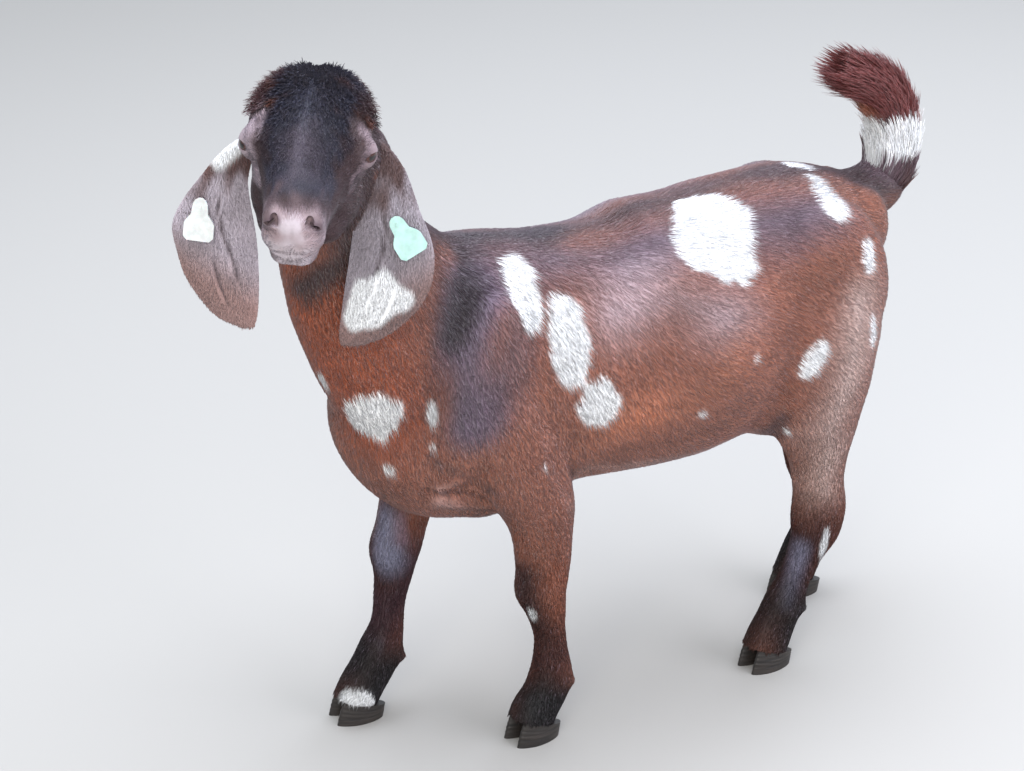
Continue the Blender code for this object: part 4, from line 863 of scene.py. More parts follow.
EAR_SPOTS = {
    "ear_right": ((0.0062, ((-0.355, -0.008, 0.565), (-0.342, -0.011, 0.576))),),
    "ear_left": (
        (0.0105, ((-0.281, -0.084, 0.448), (-0.275, -0.089, 0.470))),
        (0.0115, ((-0.266, -0.095, 0.476), (-0.253, -0.102, 0.464))),
        (0.0100, ((-0.275, -0.089, 0.448), (-0.261, -0.098, 0.459))),
    ),
}
SPOT_SOFTNESS = 0.0040

# Courses that the coat follows: middle line in the way of the hair, usual radius, hair length, coat depth
COURSES = {
    "trunk": (((-0.215, 0.0, 0.360), (0.000, 0.0, 0.345), (0.225, 0.0, 0.390)), 0.100, 0.0105, 0.0013),
    "neck": (
        ((-0.270, -0.040, 0.550), (-0.235, -0.012, 0.450), (-0.200, -0.002, 0.380)),
        0.062, 0.0110, 0.0014,
    ),
    "foreleg_left": ((
        (-0.130, -0.062, 0.290), (-0.100, -0.060, 0.190), (-0.090, -0.055, 0.080), (-0.104, -0.052, 0.02),
    ), 0.023, 0.0072, 0.0010),
    "foreleg_right": ((
        (-0.155, 0.062, 0.290), (-0.170, 0.060, 0.185), (-0.190, 0.055, 0.080), (-0.219, 0.054, 0.02),
    ), 0.023, 0.0072, 0.0010),
    "hindleg_left": ((
        (0.172, -0.062, 0.300), (0.184, -0.058, 0.180), (0.166, -0.053, 0.080), (0.139, -0.052, 0.02),
    ), 0.027, 0.0075, 0.0010),
    "hindleg_right": ((
        (0.195, 0.062, 0.300), (0.242, 0.055, 0.180), (0.256, 0.048, 0.080), (0.239, 0.046, 0.02),
    ), 0.027, 0.0075, 0.0010),
    "head": (
        (on_head(0.095, 0.0, -0.020), on_head(0.030, 0.0, -0.014), on_head(-0.050, 0.0, -0.004)),
        0.045, 0.0074, 0.0009,
    ),
    "tail": (
        ((0.262, 0.0, 0.415), (0.288, 0.0, 0.448), (0.289, 0.0, 0.473), (0.258, 0.0, 0.518)),
        0.020, 0.0110, 0.0012,
    ),
}
SEED = 11


def linear(code):
    """A hex sRGB colour as linear red, green and blue."""
    parts = np.array([int(code[i : i + 2], 16) for i in (1, 3, 5)]) / 255
    return np.where(parts <= 0.04045, parts / 12.92, ((parts + 0.055) / 1.055) ** 2.4)


def from_line(points, line):
    """Distance of points to a line of points, the share along it and the heading there."""
    line = np.array([tuple(p) for p in line], float)
    best = np.full(len(points), 1e9)
    heading = np.zeros((len(points), 3))
    nearest = np.zeros((len(points), 3))
    run = np.zeros(len(points))
    walked = 0.0
    for a, b in zip(line, line[1:]):
        way = b - a
        length = np.linalg.norm(way)
        t = np.clip((points - a) @ way / length**2, 0, 1)
        spot = a + t[:, None] * way
        away = np.linalg.norm(points - spot, axis=1)
        closer = away < best
        best = np.where(closer, away, best)
        heading[closer] = way / length
        nearest[closer] = spot[closer]
        run[closer] = walked + t[closer] * length
        walked += length
    return best, heading, nearest, run / walked


def ripple(points, size, seed=0):
    """A smooth wander between about -1 and 1 with bumps of that size in metres."""
    made = np.zeros(len(points))
    rng = np.random.default_rng(seed)
    for _ in range(RIPPLE_WAVES):
        way = rng.normal(size=3)
        way *= 2 * math.pi / (size * rng.uniform(*RIPPLE_SPREAD)) / np.linalg.norm(way)
        made += np.sin(points @ way + rng.uniform(0, 6.28))
    return made / RIPPLE_LEVEL


def streaked(points, upright, size, seed):
    """A ripple drawn out up and down, where upright is the share of the height that counts."""
    return ripple(points * np.array([1.0, 1.0, upright]), size, seed)


def smooth_step(value):
    """A rise from 0 to 1 that starts and ends gently."""
    value = np.clip(value, 0, 1)
    return value * value * (3 - 2 * value)


def paint(colours, points, code, radius, softness, line, edge):
    """Lays one marking over the colours of points, full inside its radius and gone beyond its soft edge."""
    away = from_line(points, line)[0] - radius - edge * min(softness, MOST_WAVER)
    cover = smooth_step(0.5 - away / softness)[:, None]
    return colours * (1 - cover) + linear(code) * cover


def coat_colour(points):
    """The coat's colour at points of the model's frame."""
    colours = np.tile(linear(CHESTNUT), (len(points), 1))
    broad = ripple(points, *BROAD)
    fine = ripple(points, *FINE)
    for code, radius, softness, line in ZONES:
        colours = paint(colours, points, code, radius, softness, line, broad * ZONE_WAVER)
    on_the_head = from_line(points, COURSES["head"][0])[0] < HEAD_REACH
    for code, radius, softness, line in HEAD_ZONES:
        line = [on_head(*p) for p in line]
        edge = fine[on_the_head] * HEAD_ZONE_WAVER
        colours[on_the_head] = paint(
            colours[on_the_head], points[on_the_head], code, radius, softness, line, edge
        )
    ragged, narrowed, rough = SPOT_SHAPE
    edge = SPOT_WAVER[0] * fine + SPOT_WAVER[1] * broad
    for radius, line in SPOTS:
        away, _, _, share = from_line(points, line)
        away -= radius * (1 + ragged * edge - narrowed * (2 * share - 1) ** 2) + rough * edge
        cover = smooth_step(0.5 - away / SPOT_SOFTNESS)[:, None]
        colours = colours * (1 - cover) + linear(WHITE) * cover
    return colours * (1 + COAT_TONES[0] * broad + COAT_TONES[1] * fine)[:, None]


def growth(points):
    """At points of the skin: the way the hair lies, its length and the coat's depth."""
    total = np.zeros(len(points))
    lie = np.zeros((len(points), 3))
    length = np.zeros(len(points))
    depth = np.zeros(len(points))
    for name, (line, radius, hair, coat) in COURSES.items():
        away, heading, nearest, _ = from_line(points, line)
        weight = 1 / ((away / radius) ** 2 + 0.02) ** 3
        if name == "trunk":
            fall = np.interp(points[:, 0], *FLANK_FALL) * np.clip(np.abs(points[:, 1]) / FLANK_FROM, 0, 1)
            heading = heading + np.outer(fall, (0.0, 0.0, -1.0))
        if name == "tail":
            heading = heading + (points - nearest) * TAIL_FAN
        total += weight
        lie += heading * weight[:, None]
        length += hair * weight
        depth += coat * weight
    length /= total
    depth /= total
    lie /= total[:, None]
    off = points - np.array(EYES_MIDDLE)
    near = smooth_step((FACE_REACH[0] - np.linalg.norm(off, axis=1)) / FACE_REACH[1])
    face = near * smooth_step((off @ np.array(FORWARD) + FACE_FROM[0]) / FACE_FROM[1])
    low = smooth_step((FOOT_REACH[0] - points[:, 2]) / FOOT_REACH[1])
    length *= 1 - FACE_TRIM[0] * face
    length *= 1 - FOOT_TRIM * low
    depth *= 1 - FACE_TRIM[1] * face
    depth *= 1 - FOOT_TRIM * low
    return lie, length, depth


def mesh_arrays(obj):
    """Vertices, normals and triangle corners of an object as arrays."""
    mesh = obj.data
    mesh.calc_loop_triangles()
    points = np.zeros(len(mesh.vertices) * 3)
    mesh.vertices.foreach_get("co", points)
    normals = np.zeros(len(mesh.vertices) * 3, np.float32)
    mesh.vertex_normals.foreach_get("vector", normals)
    corners = np.zeros(len(mesh.loop_triangles) * 3, np.int64)
    mesh.loop_triangles.foreach_get("vertices", corners)
    return points.reshape(-1, 3), normals.reshape(-1, 3).astype(float), corners.reshape(-1, 3)


def colour_points(mesh, colours):
    """Stores a colour for each point, which the material reads."""
    full = np.ones((len(mesh.vertices), 4), np.float32)
    full[:, :3] = np.clip(colours, 0, 1)
    layer = mesh.color_attributes.new(name="Marking", type="FLOAT_COLOR", domain="POINT")
    layer.data.foreach_set("color", full.ravel())


def moved(obj, change):
    """Adds an array of moves to an object's points."""
    points, _, _ = mesh_arrays(obj)
    obj.data.vertices.foreach_set("co", (points + change).astype(np.float32).ravel())
    obj.data.update()
    return obj


def flesh():
    """The whole kid without ears, eyes and hooves, as one smooth closed skin."""
    shape = bmesh.new()
    loft(shape, section_rows(TRUNK, lambda x, z: (x, 0.0, z)), up=(0, 0, 1), sides=32)
    loft(shape, NECK, up=(1, 0.3, 0.4), sides=28)
    for rows in LEGS.values():
        *_, fetlock, _, last = rows
        ground = (last[0] - SOLE_STUB[0], last[1], SOLE_STUB[1], *last[3:])
        loft(shape, (*rows, ground), up=(-1, 0, 0))
        for side in (DEWCLAW_SPREAD, -DEWCLAW_SPREAD):
            heel = fetlock[0] + HEEL[0] * fetlock[5]
            ball(shape, (heel, fetlock[1] + side, fetlock[2] - HEEL[1]), DEWCLAW_SIZE, detail=10)
    for centre, sizes, lean in BODY_MASSES:
        ball(shape, centre, sizes, Matrix.Rotation(math.radians(lean), 3, "Y"), detail=24)
    loft(shape, [(x, y, z, wide, deep, deep) for x, y, z, wide, deep in TAIL], up=(-1, 0, 1))
    head_rows = section_rows(HEAD, lambda along, height: on_head(along, 0.0, height))
    loft(shape, head_rows, up=UP, sides=28)
    for (along, out, height), sizes in HEAD_MASSES:
        for side in (1, -1):
            ball(shape, on_head(along, side * out, height), sizes, HEAD_TURN, detail=16)
    body = finished(shape, "skin")
    grain = body.modifiers.new("grain", "REMESH")
    grain.mode = "VOXEL"
    grain.voxel_size = VOXEL
    smooth = body.modifiers.new("smooth", "SMOOTH")
    smooth.factor = 0.5
    smooth.iterations = FLESH_SMOOTHING
    return outer_surface(applied(body))


def outer_surface(body):
    """Keeps the closed surface that holds the lowest point, and drops any inside it."""
    shape = bmesh.new()
    shape.from_mesh(body.data)
    reached = {min(shape.verts, key=lambda v: v.co.z)}
    waiting = list(reached)
    while waiting:
        for edge in waiting.pop().link_edges:
            for v in edge.verts:
                if v not in reached:
                    reached.add(v)
                    waiting.append(v)
    bmesh.ops.delete(shape, geom=[v for v in shape.verts if v not in reached], context="VERTS")
    shape.to_mesh(body.data)
    shape.free()
    return body


def feet_cut(body):
    """Cuts the skin off above each hoof."""
    for name, (along, across, _) in FEET.items():
        down = foot_ways(name)[2]
        shape = bmesh.new()
        turn = down.to_track_quat("Z", "Y").to_matrix().to_4x4()
        middle = Vector((along, across, CORONET_MIDDLE)) + down * (FOOT_BLOCK[2] / 2)
        matrix = Matrix.Translation(middle) @ turn @ Matrix.Diagonal((*FOOT_BLOCK, 1.0))
        bmesh.ops.create_cube(shape, size=1.0, matrix=matrix)
        cut(body, finished(shape, "foot"), "DIFFERENCE")


def cut(obj, tool, operation):
    """Joins or cuts a closed skin with a closed tool, and removes the tool."""
    change = obj.modifiers.new("cut", "BOOLEAN")
    change.operation = operation
    change.solver = "MANIFOLD"
    change.object = tool
    applied(obj)
    bpy.data.objects.remove(tool)
    return obj


def finer_head(body):
    """Divides the faces of the head once more."""
    middle, reach = FINE_HEAD
    shape = bmesh.new()
    shape.from_mesh(body.data)
    near = {f for f in shape.faces if (f.calc_center_median() - on_head(*middle)).length < reach}
    edges = [e for e in shape.edges if any(f in near for f in e.link_faces)]
    bmesh.ops.subdivide_edges(shape, edges=edges, cuts=1, use_grid_fill=True, smooth=0.4)
    shape.to_mesh(body.data)
    shape.free()
    return body


def skin():
    """The skin inside the coat, with lids, nostrils, mouth and folds."""
    body = flesh()
    points, normals, _ = mesh_arrays(body)
    depth = growth(points)[2]
    moved(body, -normals * depth[:, None])
    finer_head(body)
    points, normals, _ = mesh_arrays(body)
    moved(body, normals * relief(points)[:, None])
    for side in (1, -1):
        eye = eye_frame(side)[0]
        cut(body, sphere(eye, EYE_RADIUS + LID_THICKNESS, "lid", LID_DETAIL), "UNION")
        eased(body, eye, *LID_EASING)
    for side in (1, -1):
        eye = eye_frame(side)[0]
        cut(body, sphere(eye, EYE_RADIUS + SOCKET_GAP, "socket", LID_DETAIL), "DIFFERENCE")
        cut(body, almond(side), "DIFFERENCE")
        cut(body, nostril(side), "DIFFERENCE")
    cut(body, mouth_groove(body), "DIFFERENCE")
    feet_cut(body)
    return body


def eased(body, centre, reach, rounds):
    """Softens the skin round a place, most at the middle of its reach."""
    group = body.vertex_groups.new(name="eased")
    for v in body.data.vertices:
        away = (v.co - centre).length
        if away < reach:
            group.add([v.index], min(1.0, 3 * (1 - away / reach)), "REPLACE")
    soft = body.modifiers.new("soft", "SMOOTH")
    soft.vertex_group = "eased"
    soft.iterations = rounds
    applied(body)
    body.vertex_groups.clear()
    return body


def relief(points):
    """How far folds, wrinkles and sinews stand off the skin, in metres."""
    rise = np.zeros(len(points))
    on_the_head = [(height, width, [on_head(*p) for p in line]) for height, width, line in HEAD_FOLDS]
    for height, width, line in (*BODY_FOLDS, *on_the_head):
        away = from_line(points, line)[0]
        rise += height * np.exp(-((away / width) ** 2))
    height, size, seed = WRINKLES
    return rise + height * ripple(points, size, seed)


def unwrapped(points):
    """A flat place for each point of the skin: round its course across, and along the course upwards."""
    best = np.full(len(points), 1e9)
    places = np.zeros((len(points), 2))
    for n, (name, (line, radius, _, _)) in enumerate(COURSES.items()):
        away, heading, nearest, run = from_line(points, line)
        nearer = away / radius < best
        best = np.where(nearer, away / radius, best)
        across = np.cross(heading, (1.0, 0.0, 0.02) if name in LEGS else (0.02, 0.0, 1.0))
        across /= np.linalg.norm(across, axis=1)[:, None]
        over = np.cross(across, heading)
        off = points - nearest
        angle = np.arctan2((off * over).sum(1), (off * across).sum(1)) / (2 * math.pi) + 0.5
        column, row = n % 4, n // 4
        places[nearer, 0] = (column + 0.06 + 0.88 * angle[nearer]) / 4
        places[nearer, 1] = (row + 0.06 + 0.88 * run[nearer]) / 2
    return places


def scattered(points, normals, corners, wanted, rng):
    """Random roots on triangles, with their normals; wanted is the number of tufts for each triangle."""
    count = np.floor(wanted + rng.random(len(wanted))).astype(int)
    chosen = np.repeat(np.arange(len(corners)), count)
    a, b = rng.random((2, len(chosen)))
    fold = a + b > 1
    a[fold], b[fold] = 1 - a[fold], 1 - b[fold]
    shares = np.stack([1 - a - b, a, b], 1)[:, :, None]
    trio = corners[chosen]
    roots = (points[trio] * shares).sum(1)
    ways = (normals[trio] * shares).sum(1)
    return roots, ways / np.linalg.norm(ways, axis=1)[:, None]


def unit(ways):
    """Directions of length one."""
    return ways / np.maximum(np.linalg.norm(ways, axis=1), 1e-9)[:, None]


def grown(
    roots, lie, hair, places, colours, rng, tree=None, stray=0.13, sunk=0.0006, mottle=MOTTLE, ridge=0.42
):
    """Tufts as closed three-sided blades: arrays of points, triangle corners, flat places and colours.

    roots are points and the skin's way out there, and hair is the length, width and height of each tuft.
    """
    roots, normals = roots
    count = len(roots)
    along = unit(lie - normals * (lie * normals).sum(1)[:, None])
    side = np.cross(normals, along)
    turn = rng.normal(0, stray, count)[:, None]
    along = unit(along + side * turn)
    side = np.cross(normals, along)
    reach, wide, high = (
        (size * rng.uniform(*spread, count))[:, None] for size, spread in zip(hair, TUFT_SPREAD)
    )
    foot = roots - normals * sunk
    tip = roots + along * reach + normals * high
    if tree is not None:
        for i in range(count):
            near, way, _, _ = tree.find_nearest(Vector(tip[i]))
            up = np.array(way)
            tip[i] += up * (high[i] - (tip[i] - np.array(near)) @ up)
    back = foot + normals * (sunk + ridge * wide) - along * TUFT_BACK * wide
    blades = np.stack([foot - side * wide * 0.5, foot + side * wide * 0.5, back, tip], 1).reshape(-1, 3)
    trios = [(0, 1, 3), (1, 2, 3), (2, 0, 3), (0, 2, 1)]
    corners = (np.array(trios)[None] + 4 * np.arange(count)[:, None, None]).reshape(-1, 3)
    flat = (places[:, None] + (PATCH * np.array([(-1, -1), (1, -1), (0, -0.6), (0, 1)]))[None]).reshape(-1, 2)
    tone = np.clip(rng.normal(1.0, mottle, count), *TUFT_TONES)[:, None] * np.array(TUFT_SHADES)[None]
    # A painted glint lightens a share of the tufts
    glint = (rng.random(count) < GLINTS * mottle / MOTTLE)[:, None] * linear(GLINT)
    tint = (colours[:, None] * tone[:, :, None] + (glint * (1 - colours))[:, None]).reshape(-1, 3)
    return blades, corners, flat, tint


def by_region(roots, rng):
    """Splits tufts into body, head and legs, mixed where they meet, each into runs for one piece."""
    region = region_of(roots)
    names = list(COURSES)
    mixed = rng.normal(0, 1, len(roots))
    leg_numbers = [n for n, name in enumerate(names) if name in LEGS]
    legs = np.isin(region, leg_numbers) & (roots[:, 2] + LEG_TOP[1] * mixed < LEG_TOP[0])
    off_neck = from_line(roots, COURSES["neck"][0])[0] + HEAD_FROM_NECK[1] * mixed
    head = (region == names.index("head")) & (off_neck > HEAD_FROM_NECK[0])
    for kind, chosen in (("coat", ~legs & ~head), ("leg_coat", legs), ("head_coat", head)):
        order = np.flatnonzero(chosen)
        order = order[np.argsort(region[order], kind="stable")]
        for start in range(0, len(order), TUFTS_PER_PIECE):
            yield kind, order[start : start + TUFTS_PER_PIECE]


def piece_of_coat(name, tufts, material):
    """One joined mesh of many tufts, from arrays of points, triangle corners, flat places and colours."""
    points, corners, flat, colours = tufts
    mesh = bpy.data.meshes.new(name)
    mesh.vertices.add(len(points))
    mesh.vertices.foreach_set("co", np.ascontiguousarray(points, np.float32).ravel())
    mesh.loops.add(corners.size)
    mesh.loops.foreach_set("vertex_index", np.ascontiguousarray(corners, np.int32).ravel())
    mesh.polygons.add(len(corners))
    mesh.polygons.foreach_set("loop_start", np.arange(0, corners.size, 3, dtype=np.int32))
    mesh.update(calc_edges=True)
    mesh.polygons.foreach_set("use_smooth", np.full(len(corners), True))
    layer = mesh.uv_layers.new(name="OFBake")
    layer.uv.foreach_set("vector", np.ascontiguousarray(flat[corners.ravel()], np.float32).ravel())
    colour_points(mesh, colours)
    mesh.validate()
    obj = bpy.data.objects.new(name, mesh)
    bpy.context.scene.collection.objects.link(obj)
    return dressed(obj, material)


def dressed(obj, material):
    """Gives an object its one material."""
    obj.data.materials.clear()
    obj.data.materials.append(material)
    return obj


def areas(points, corners):
    """The area of each triangle."""
    first, second, third = (points[corners[:, n]] for n in range(3))
    return 0.5 * np.linalg.norm(np.cross(second - first, third - first), axis=1)


def body_coat(body, materials):
    """Short tufts over the whole skin, in pieces by region."""
    rng = np.random.default_rng(SEED)
    points, normals, corners = mesh_arrays(body)
    middle = points[corners].mean(1)
    _, length, _ = growth(middle)
    width = TUFT_WIDTH[0] + TUFT_WIDTH[1] * length
    wanted = COVER * areas(points, corners) / (BLADE * length * width) * bare(middle)
    roots, ways = scattered(points, normals, corners, wanted, rng)
    lie, length, depth = growth(roots)
    width = TUFT_WIDTH[0] + TUFT_WIDTH[1] * length
    tint = coat_colour(roots)
    tree = surface_of(body)
    pieces = []
    for n, (kind, pick) in enumerate(by_region(roots, rng)):
        tufts = grown(
            (roots[pick], ways[pick]), lie[pick], (length[pick], width[pick], depth[pick]),
            unwrapped(roots[pick]), tint[pick], rng, tree,
            mottle=FACE_MOTTLE if kind == "head_coat" else MOTTLE,
        )
        pieces.append(piece_of_coat(f"{kind}_{n + 1:02d}", tufts, materials[kind]))
    return pieces


def region_of(points):
    """The number of the nearest course for each point."""
    away = [from_line(points, line)[0] / radius for line, radius, _, _ in COURSES.values()]
    return np.argmin(np.array(away), axis=0)


def bare(points):
    """1 where hair grows, falling to 0 on the nose, the lips and round the eyes."""
    grows = np.ones(len(points))
    for side in (1, -1):
        eye, looks = (np.array(v) for v in eye_frame(side))
        off = points - eye
        round_eye = np.linalg.norm(off - np.outer(off @ looks, looks), axis=1)
        grows *= np.where((off @ looks > -BARE_EYE[0]) & (round_eye < BARE_EYE[1]), 0.0, 1.0)
        nose = np.array(on_head(NOSTRIL_CENTRE[0], side * NOSTRIL_CENTRE[1], NOSTRIL_CENTRE[2]))
        grows *= smooth_step((np.linalg.norm(points - nose, axis=1) - BARE_NOSTRIL[0]) / BARE_NOSTRIL[1])
    ahead, out, up = ((points - np.array(EYES_MIDDLE)) @ np.array(way) for way in (FORWARD, LEFT, UP))
    turn = np.arctan2(out, ahead - MOUTH_CENTRE[0])
    lips = np.abs(up - MOUTH_CENTRE[1] + MOUTH_FALL * np.abs(np.sin(turn)))
    strip, fade, start = BARE_LIPS
    grows *= np.where(ahead > start, smooth_step((lips - strip) / fade), 1.0)
    tip, radius, fade = BARE_NOSE
    grows *= smooth_step((np.linalg.norm(points - np.array(on_head(*tip)), axis=1) - radius) / fade)
    return grows


def strands(starts, ways, bends, across, lengths, widths, places, colours, rng):
    """Longer tapered locks that bend: arrays of points, triangle corners, flat places and colours."""
    count = len(starts)
    rings = []
    shades = []
    flats = []
    level, gain, tip_level = LOCK_SHADES
    for share in LOCK_STEPS:
        middle = starts + ways * (lengths * share)[:, None] + bends * (lengths * share**2)[:, None]
        heading = unit(ways + bends * (2 * share))
        side = unit(across - heading * (across * heading).sum(1)[:, None])
        top = np.cross(heading, side)
        wide = (widths * math.sqrt(1 - LOCK_TAPER * share**1.5) * 0.5)[:, None]
        rings += [middle - side * wide, middle + side * wide, middle + top * wide * LOCK_RIDGE]
        shades += [level + gain * share] * 3
        flats += [(-0.9, share * 2 - 1), (0.9, share * 2 - 1), (0.0, share * 2 - 1)]
    rings.append(starts + ways * lengths[:, None] + bends * lengths[:, None])
    shades.append(tip_level)
    flats.append((0.0, 1.0))
    points = np.stack(rings, 1).reshape(-1, 3)
    trios = [(0, 2, 1)]
    for n in range(len(LOCK_STEPS) - 1):
        for i in range(3):
            a, b = 3 * n + i, 3 * n + (i + 1) % 3
            trios += [(a, b, b + 3), (a, b + 3, a + 3)]
    last = 3 * (len(LOCK_STEPS) - 1)
    trios += [(last + i, last + (i + 1) % 3, last + 3) for i in range(3)]
    each = last + 4
    corners = (np.array(trios)[None] + each * np.arange(count)[:, None, None]).reshape(-1, 3)
    flat = (places[:, None] + PATCH * np.array(flats)[None]).reshape(-1, 2)
    tone = rng.normal(1.0, LOCK_MOTTLE, count)[:, None] * np.array(shades)[None]
    tint = (colours[:, None] * tone[:, :, None]).reshape(-1, 3)
    return points, corners, flat, tint


def tail_brush(material):
    """The tail's long hair in fine locks that curl forward over its tip."""
    rng = np.random.default_rng(SEED + 1)
    rows = spline(TAIL, TAIL_STEPS)
    count = TAIL_LOCKS
    share = rng.uniform(*TAIL_SHARES, count)
    spot = share * (len(rows) - 2)
    low = spot.astype(int)
    row = rows[low] + (rows[low + 1] - rows[low]) * (spot - low)[:, None]
    ahead = unit(rows[low + 1, :3] - rows[low, :3])
    side = np.tile((0.0, 1.0, 0.0), (count, 1))
    outer = np.cross(side, ahead)
    a = rng.uniform(0, 2 * math.pi, count)
    radial = side * np.cos(a)[:, None] + outer * np.sin(a)[:, None]
    wide, deep = row[:, 3] * np.cos(a) * TAIL_DEPTH, row[:, 4] * np.sin(a) * TAIL_DEPTH
    root = row[:, :3] + side * wide[:, None] + outer * deep[:, None]
    lift = np.interp(share, *TAIL_LIFT)[:, None]
    ways = unit(ahead + radial * lift + rng.normal(0, TAIL_STRAY[0], (count, 3)))
    first, gain, inward = TAIL_BEND
    bends = np.array(TAIL_CURL)[None] * (first + gain * share[:, None]) - radial * inward * lift
    bends += rng.normal(0, TAIL_STRAY[1], (count, 3))
    lengths = np.interp(share, *TAIL_LENGTH) * rng.uniform(*TAIL_SPREAD, count)
    widths = np.full(count, TAIL_LOCK_WIDTH * (1))
    tint = coat_colour(root + ways * (lengths * TAIL_TINT_AT)[:, None])
    made = strands(root, ways, bends, np.cross(radial, ahead), lengths, widths, unwrapped(root), tint, rng)
    return piece_of_coat("tail_brush", made, material)


def out_of(points):
    """How far points lie to the left of the head's middle."""
    return (points - np.array(EYES_MIDDLE)) @ np.array(LEFT)


def crown_tufts(body, material):
    """The longer hair on the poll, which fans out over the forehead."""
    rng = np.random.default_rng(SEED + 2)
    count = CROWN_LOCKS
    along = CROWN_REACH[0] + CROWN_REACH[1] * rng.beta(*CROWN_CROWDING, count)
    out = rng.uniform(-1, 1, count) * np.interp(along, *CROWN_HALF_WIDTH)
    tree = surface_of(body)
    starts, tips, bends, across = [], [], [], []
    fall, least, edge, ahead = CROWN_SIDES
    for forward, side in zip(along, out):
        hit, normal, _, _ = tree.ray_cast(on_head(forward, side, 0.0), UP)
        if hit is None:
            continue
        upright = np.interp(forward, *CROWN_UPRIGHT)
        raised = least * min(1.0, abs(side) / edge) * (forward < ahead)
        upright = max(upright * (1 - fall * abs(side)), raised)
        way = FORWARD * CROWN_FAN[0] + LEFT * (side / CROWN_FAN[1]) + normal * upright
        starts.append(hit - normal * CROWN_ROOT)
        tips.append(way.normalized())
        bends.append(-normal * CROWN_BEND[0] * upright + FORWARD * CROWN_BEND[1])
        across.append(LEFT)
    starts, ways = np.array(starts), unit(np.array(tips) + rng.normal(0, CROWN_STRAY[0], (len(tips), 3)))
    bends = np.array(bends) + rng.normal(0, CROWN_STRAY[1], (len(tips), 3))
    aside = out_of(starts)
    beside = smooth_step(np.abs(aside - CROWN_PARTING[0]) / CROWN_PARTING[1])
    right, longer = CROWN_RIGHT
    parting = CROWN_PARTED[0] + CROWN_PARTED[1] * beside + longer * (aside < right)
    ahead = (starts - np.array(EYES_MIDDLE)) @ np.array(FORWARD)
    lengths = np.interp(ahead, *CROWN_LENGTH)
    lengths *= parting * rng.uniform(*CROWN_SPREAD, len(starts)) * (1 - CROWN_SHORTER * np.abs(aside))
    widths = np.interp(ahead, *CROWN_LOCK_WIDTH) * 1
    made = strands(
        starts, ways, bends, np.array(across), lengths, widths, unwrapped(starts), coat_colour(starts), rng
    )
    return piece_of_coat("crown_tufts", made, material)


def ear_rows(side, steps):
    """The ear's table, with rows added between the given ones."""
    return spline(EAR_LEFT if side > 0 else EAR_RIGHT, steps)


def ear_skin(side):
    """A hanging ear: thin, cupped, with a rolled edge and long creases."""
    shares = np.array([-math.cos(math.pi * i / EAR_ROUND) for i in range(EAR_ROUND + 1)])
    shape = bmesh.new()
    rings = []
    faces = ear_frame(side)[2]
    for n, row in enumerate(ear_rows(side, EAR_SLICES)):
        swell = np.interp(n / EAR_SLICES, range(len(EAR_ROOT_SWELL) + 1), (*EAR_ROOT_SWELL, 1.0))
        inner = row.copy()
        inner[2] -= EAR_COAT
        front, rear = [], []
        for share in shares:
            front.append(ear_point(side, inner, share, EAR_COAT) + faces * float(ear_fold(row[0], share)))
        for share in shares[-2:0:-1]:
            depth = (EAR_THICKNESS - 2 * EAR_COAT) * swell * math.sqrt(1 - share * share) + EAR_COAT
            rear.append(ear_point(side, inner, share, depth) + faces * float(ear_fold(row[0], share)))
        rings.append(front + rear)
    skin_rings(shape, rings)
    return finished(shape, "ear_skin")


def creases(drop, share):
    """How deep in the ear's long creases places are, from 0 to 1."""
    depth = np.zeros(np.broadcast(drop, share).shape)
    for top, bottom, start, end, width in EAR_CREASES:
        middle = top + (bottom - top) * (drop - start) / (end - start)
        run = smooth_step((drop - start) / CREASE_FADE) * smooth_step((end - drop) / CREASE_FADE)
        depth = np.maximum(depth, run * np.exp(-(((share - middle) / width) ** 2)))
    return depth


def ear_fold(drop, share):
    """The creases and waves that run down the ear, as a move along the way it faces."""
    (start, rise), (end, fall) = EAR_WAVE_START, EAR_WAVE_END
    fade = smooth_step((drop - start) / rise) * smooth_step((end - drop) / fall)
    height, over, down = EAR_WAVES
    return fade * (height * np.sin(over * share + down * drop)) - CREASE_DEPTH * creases(drop, share)


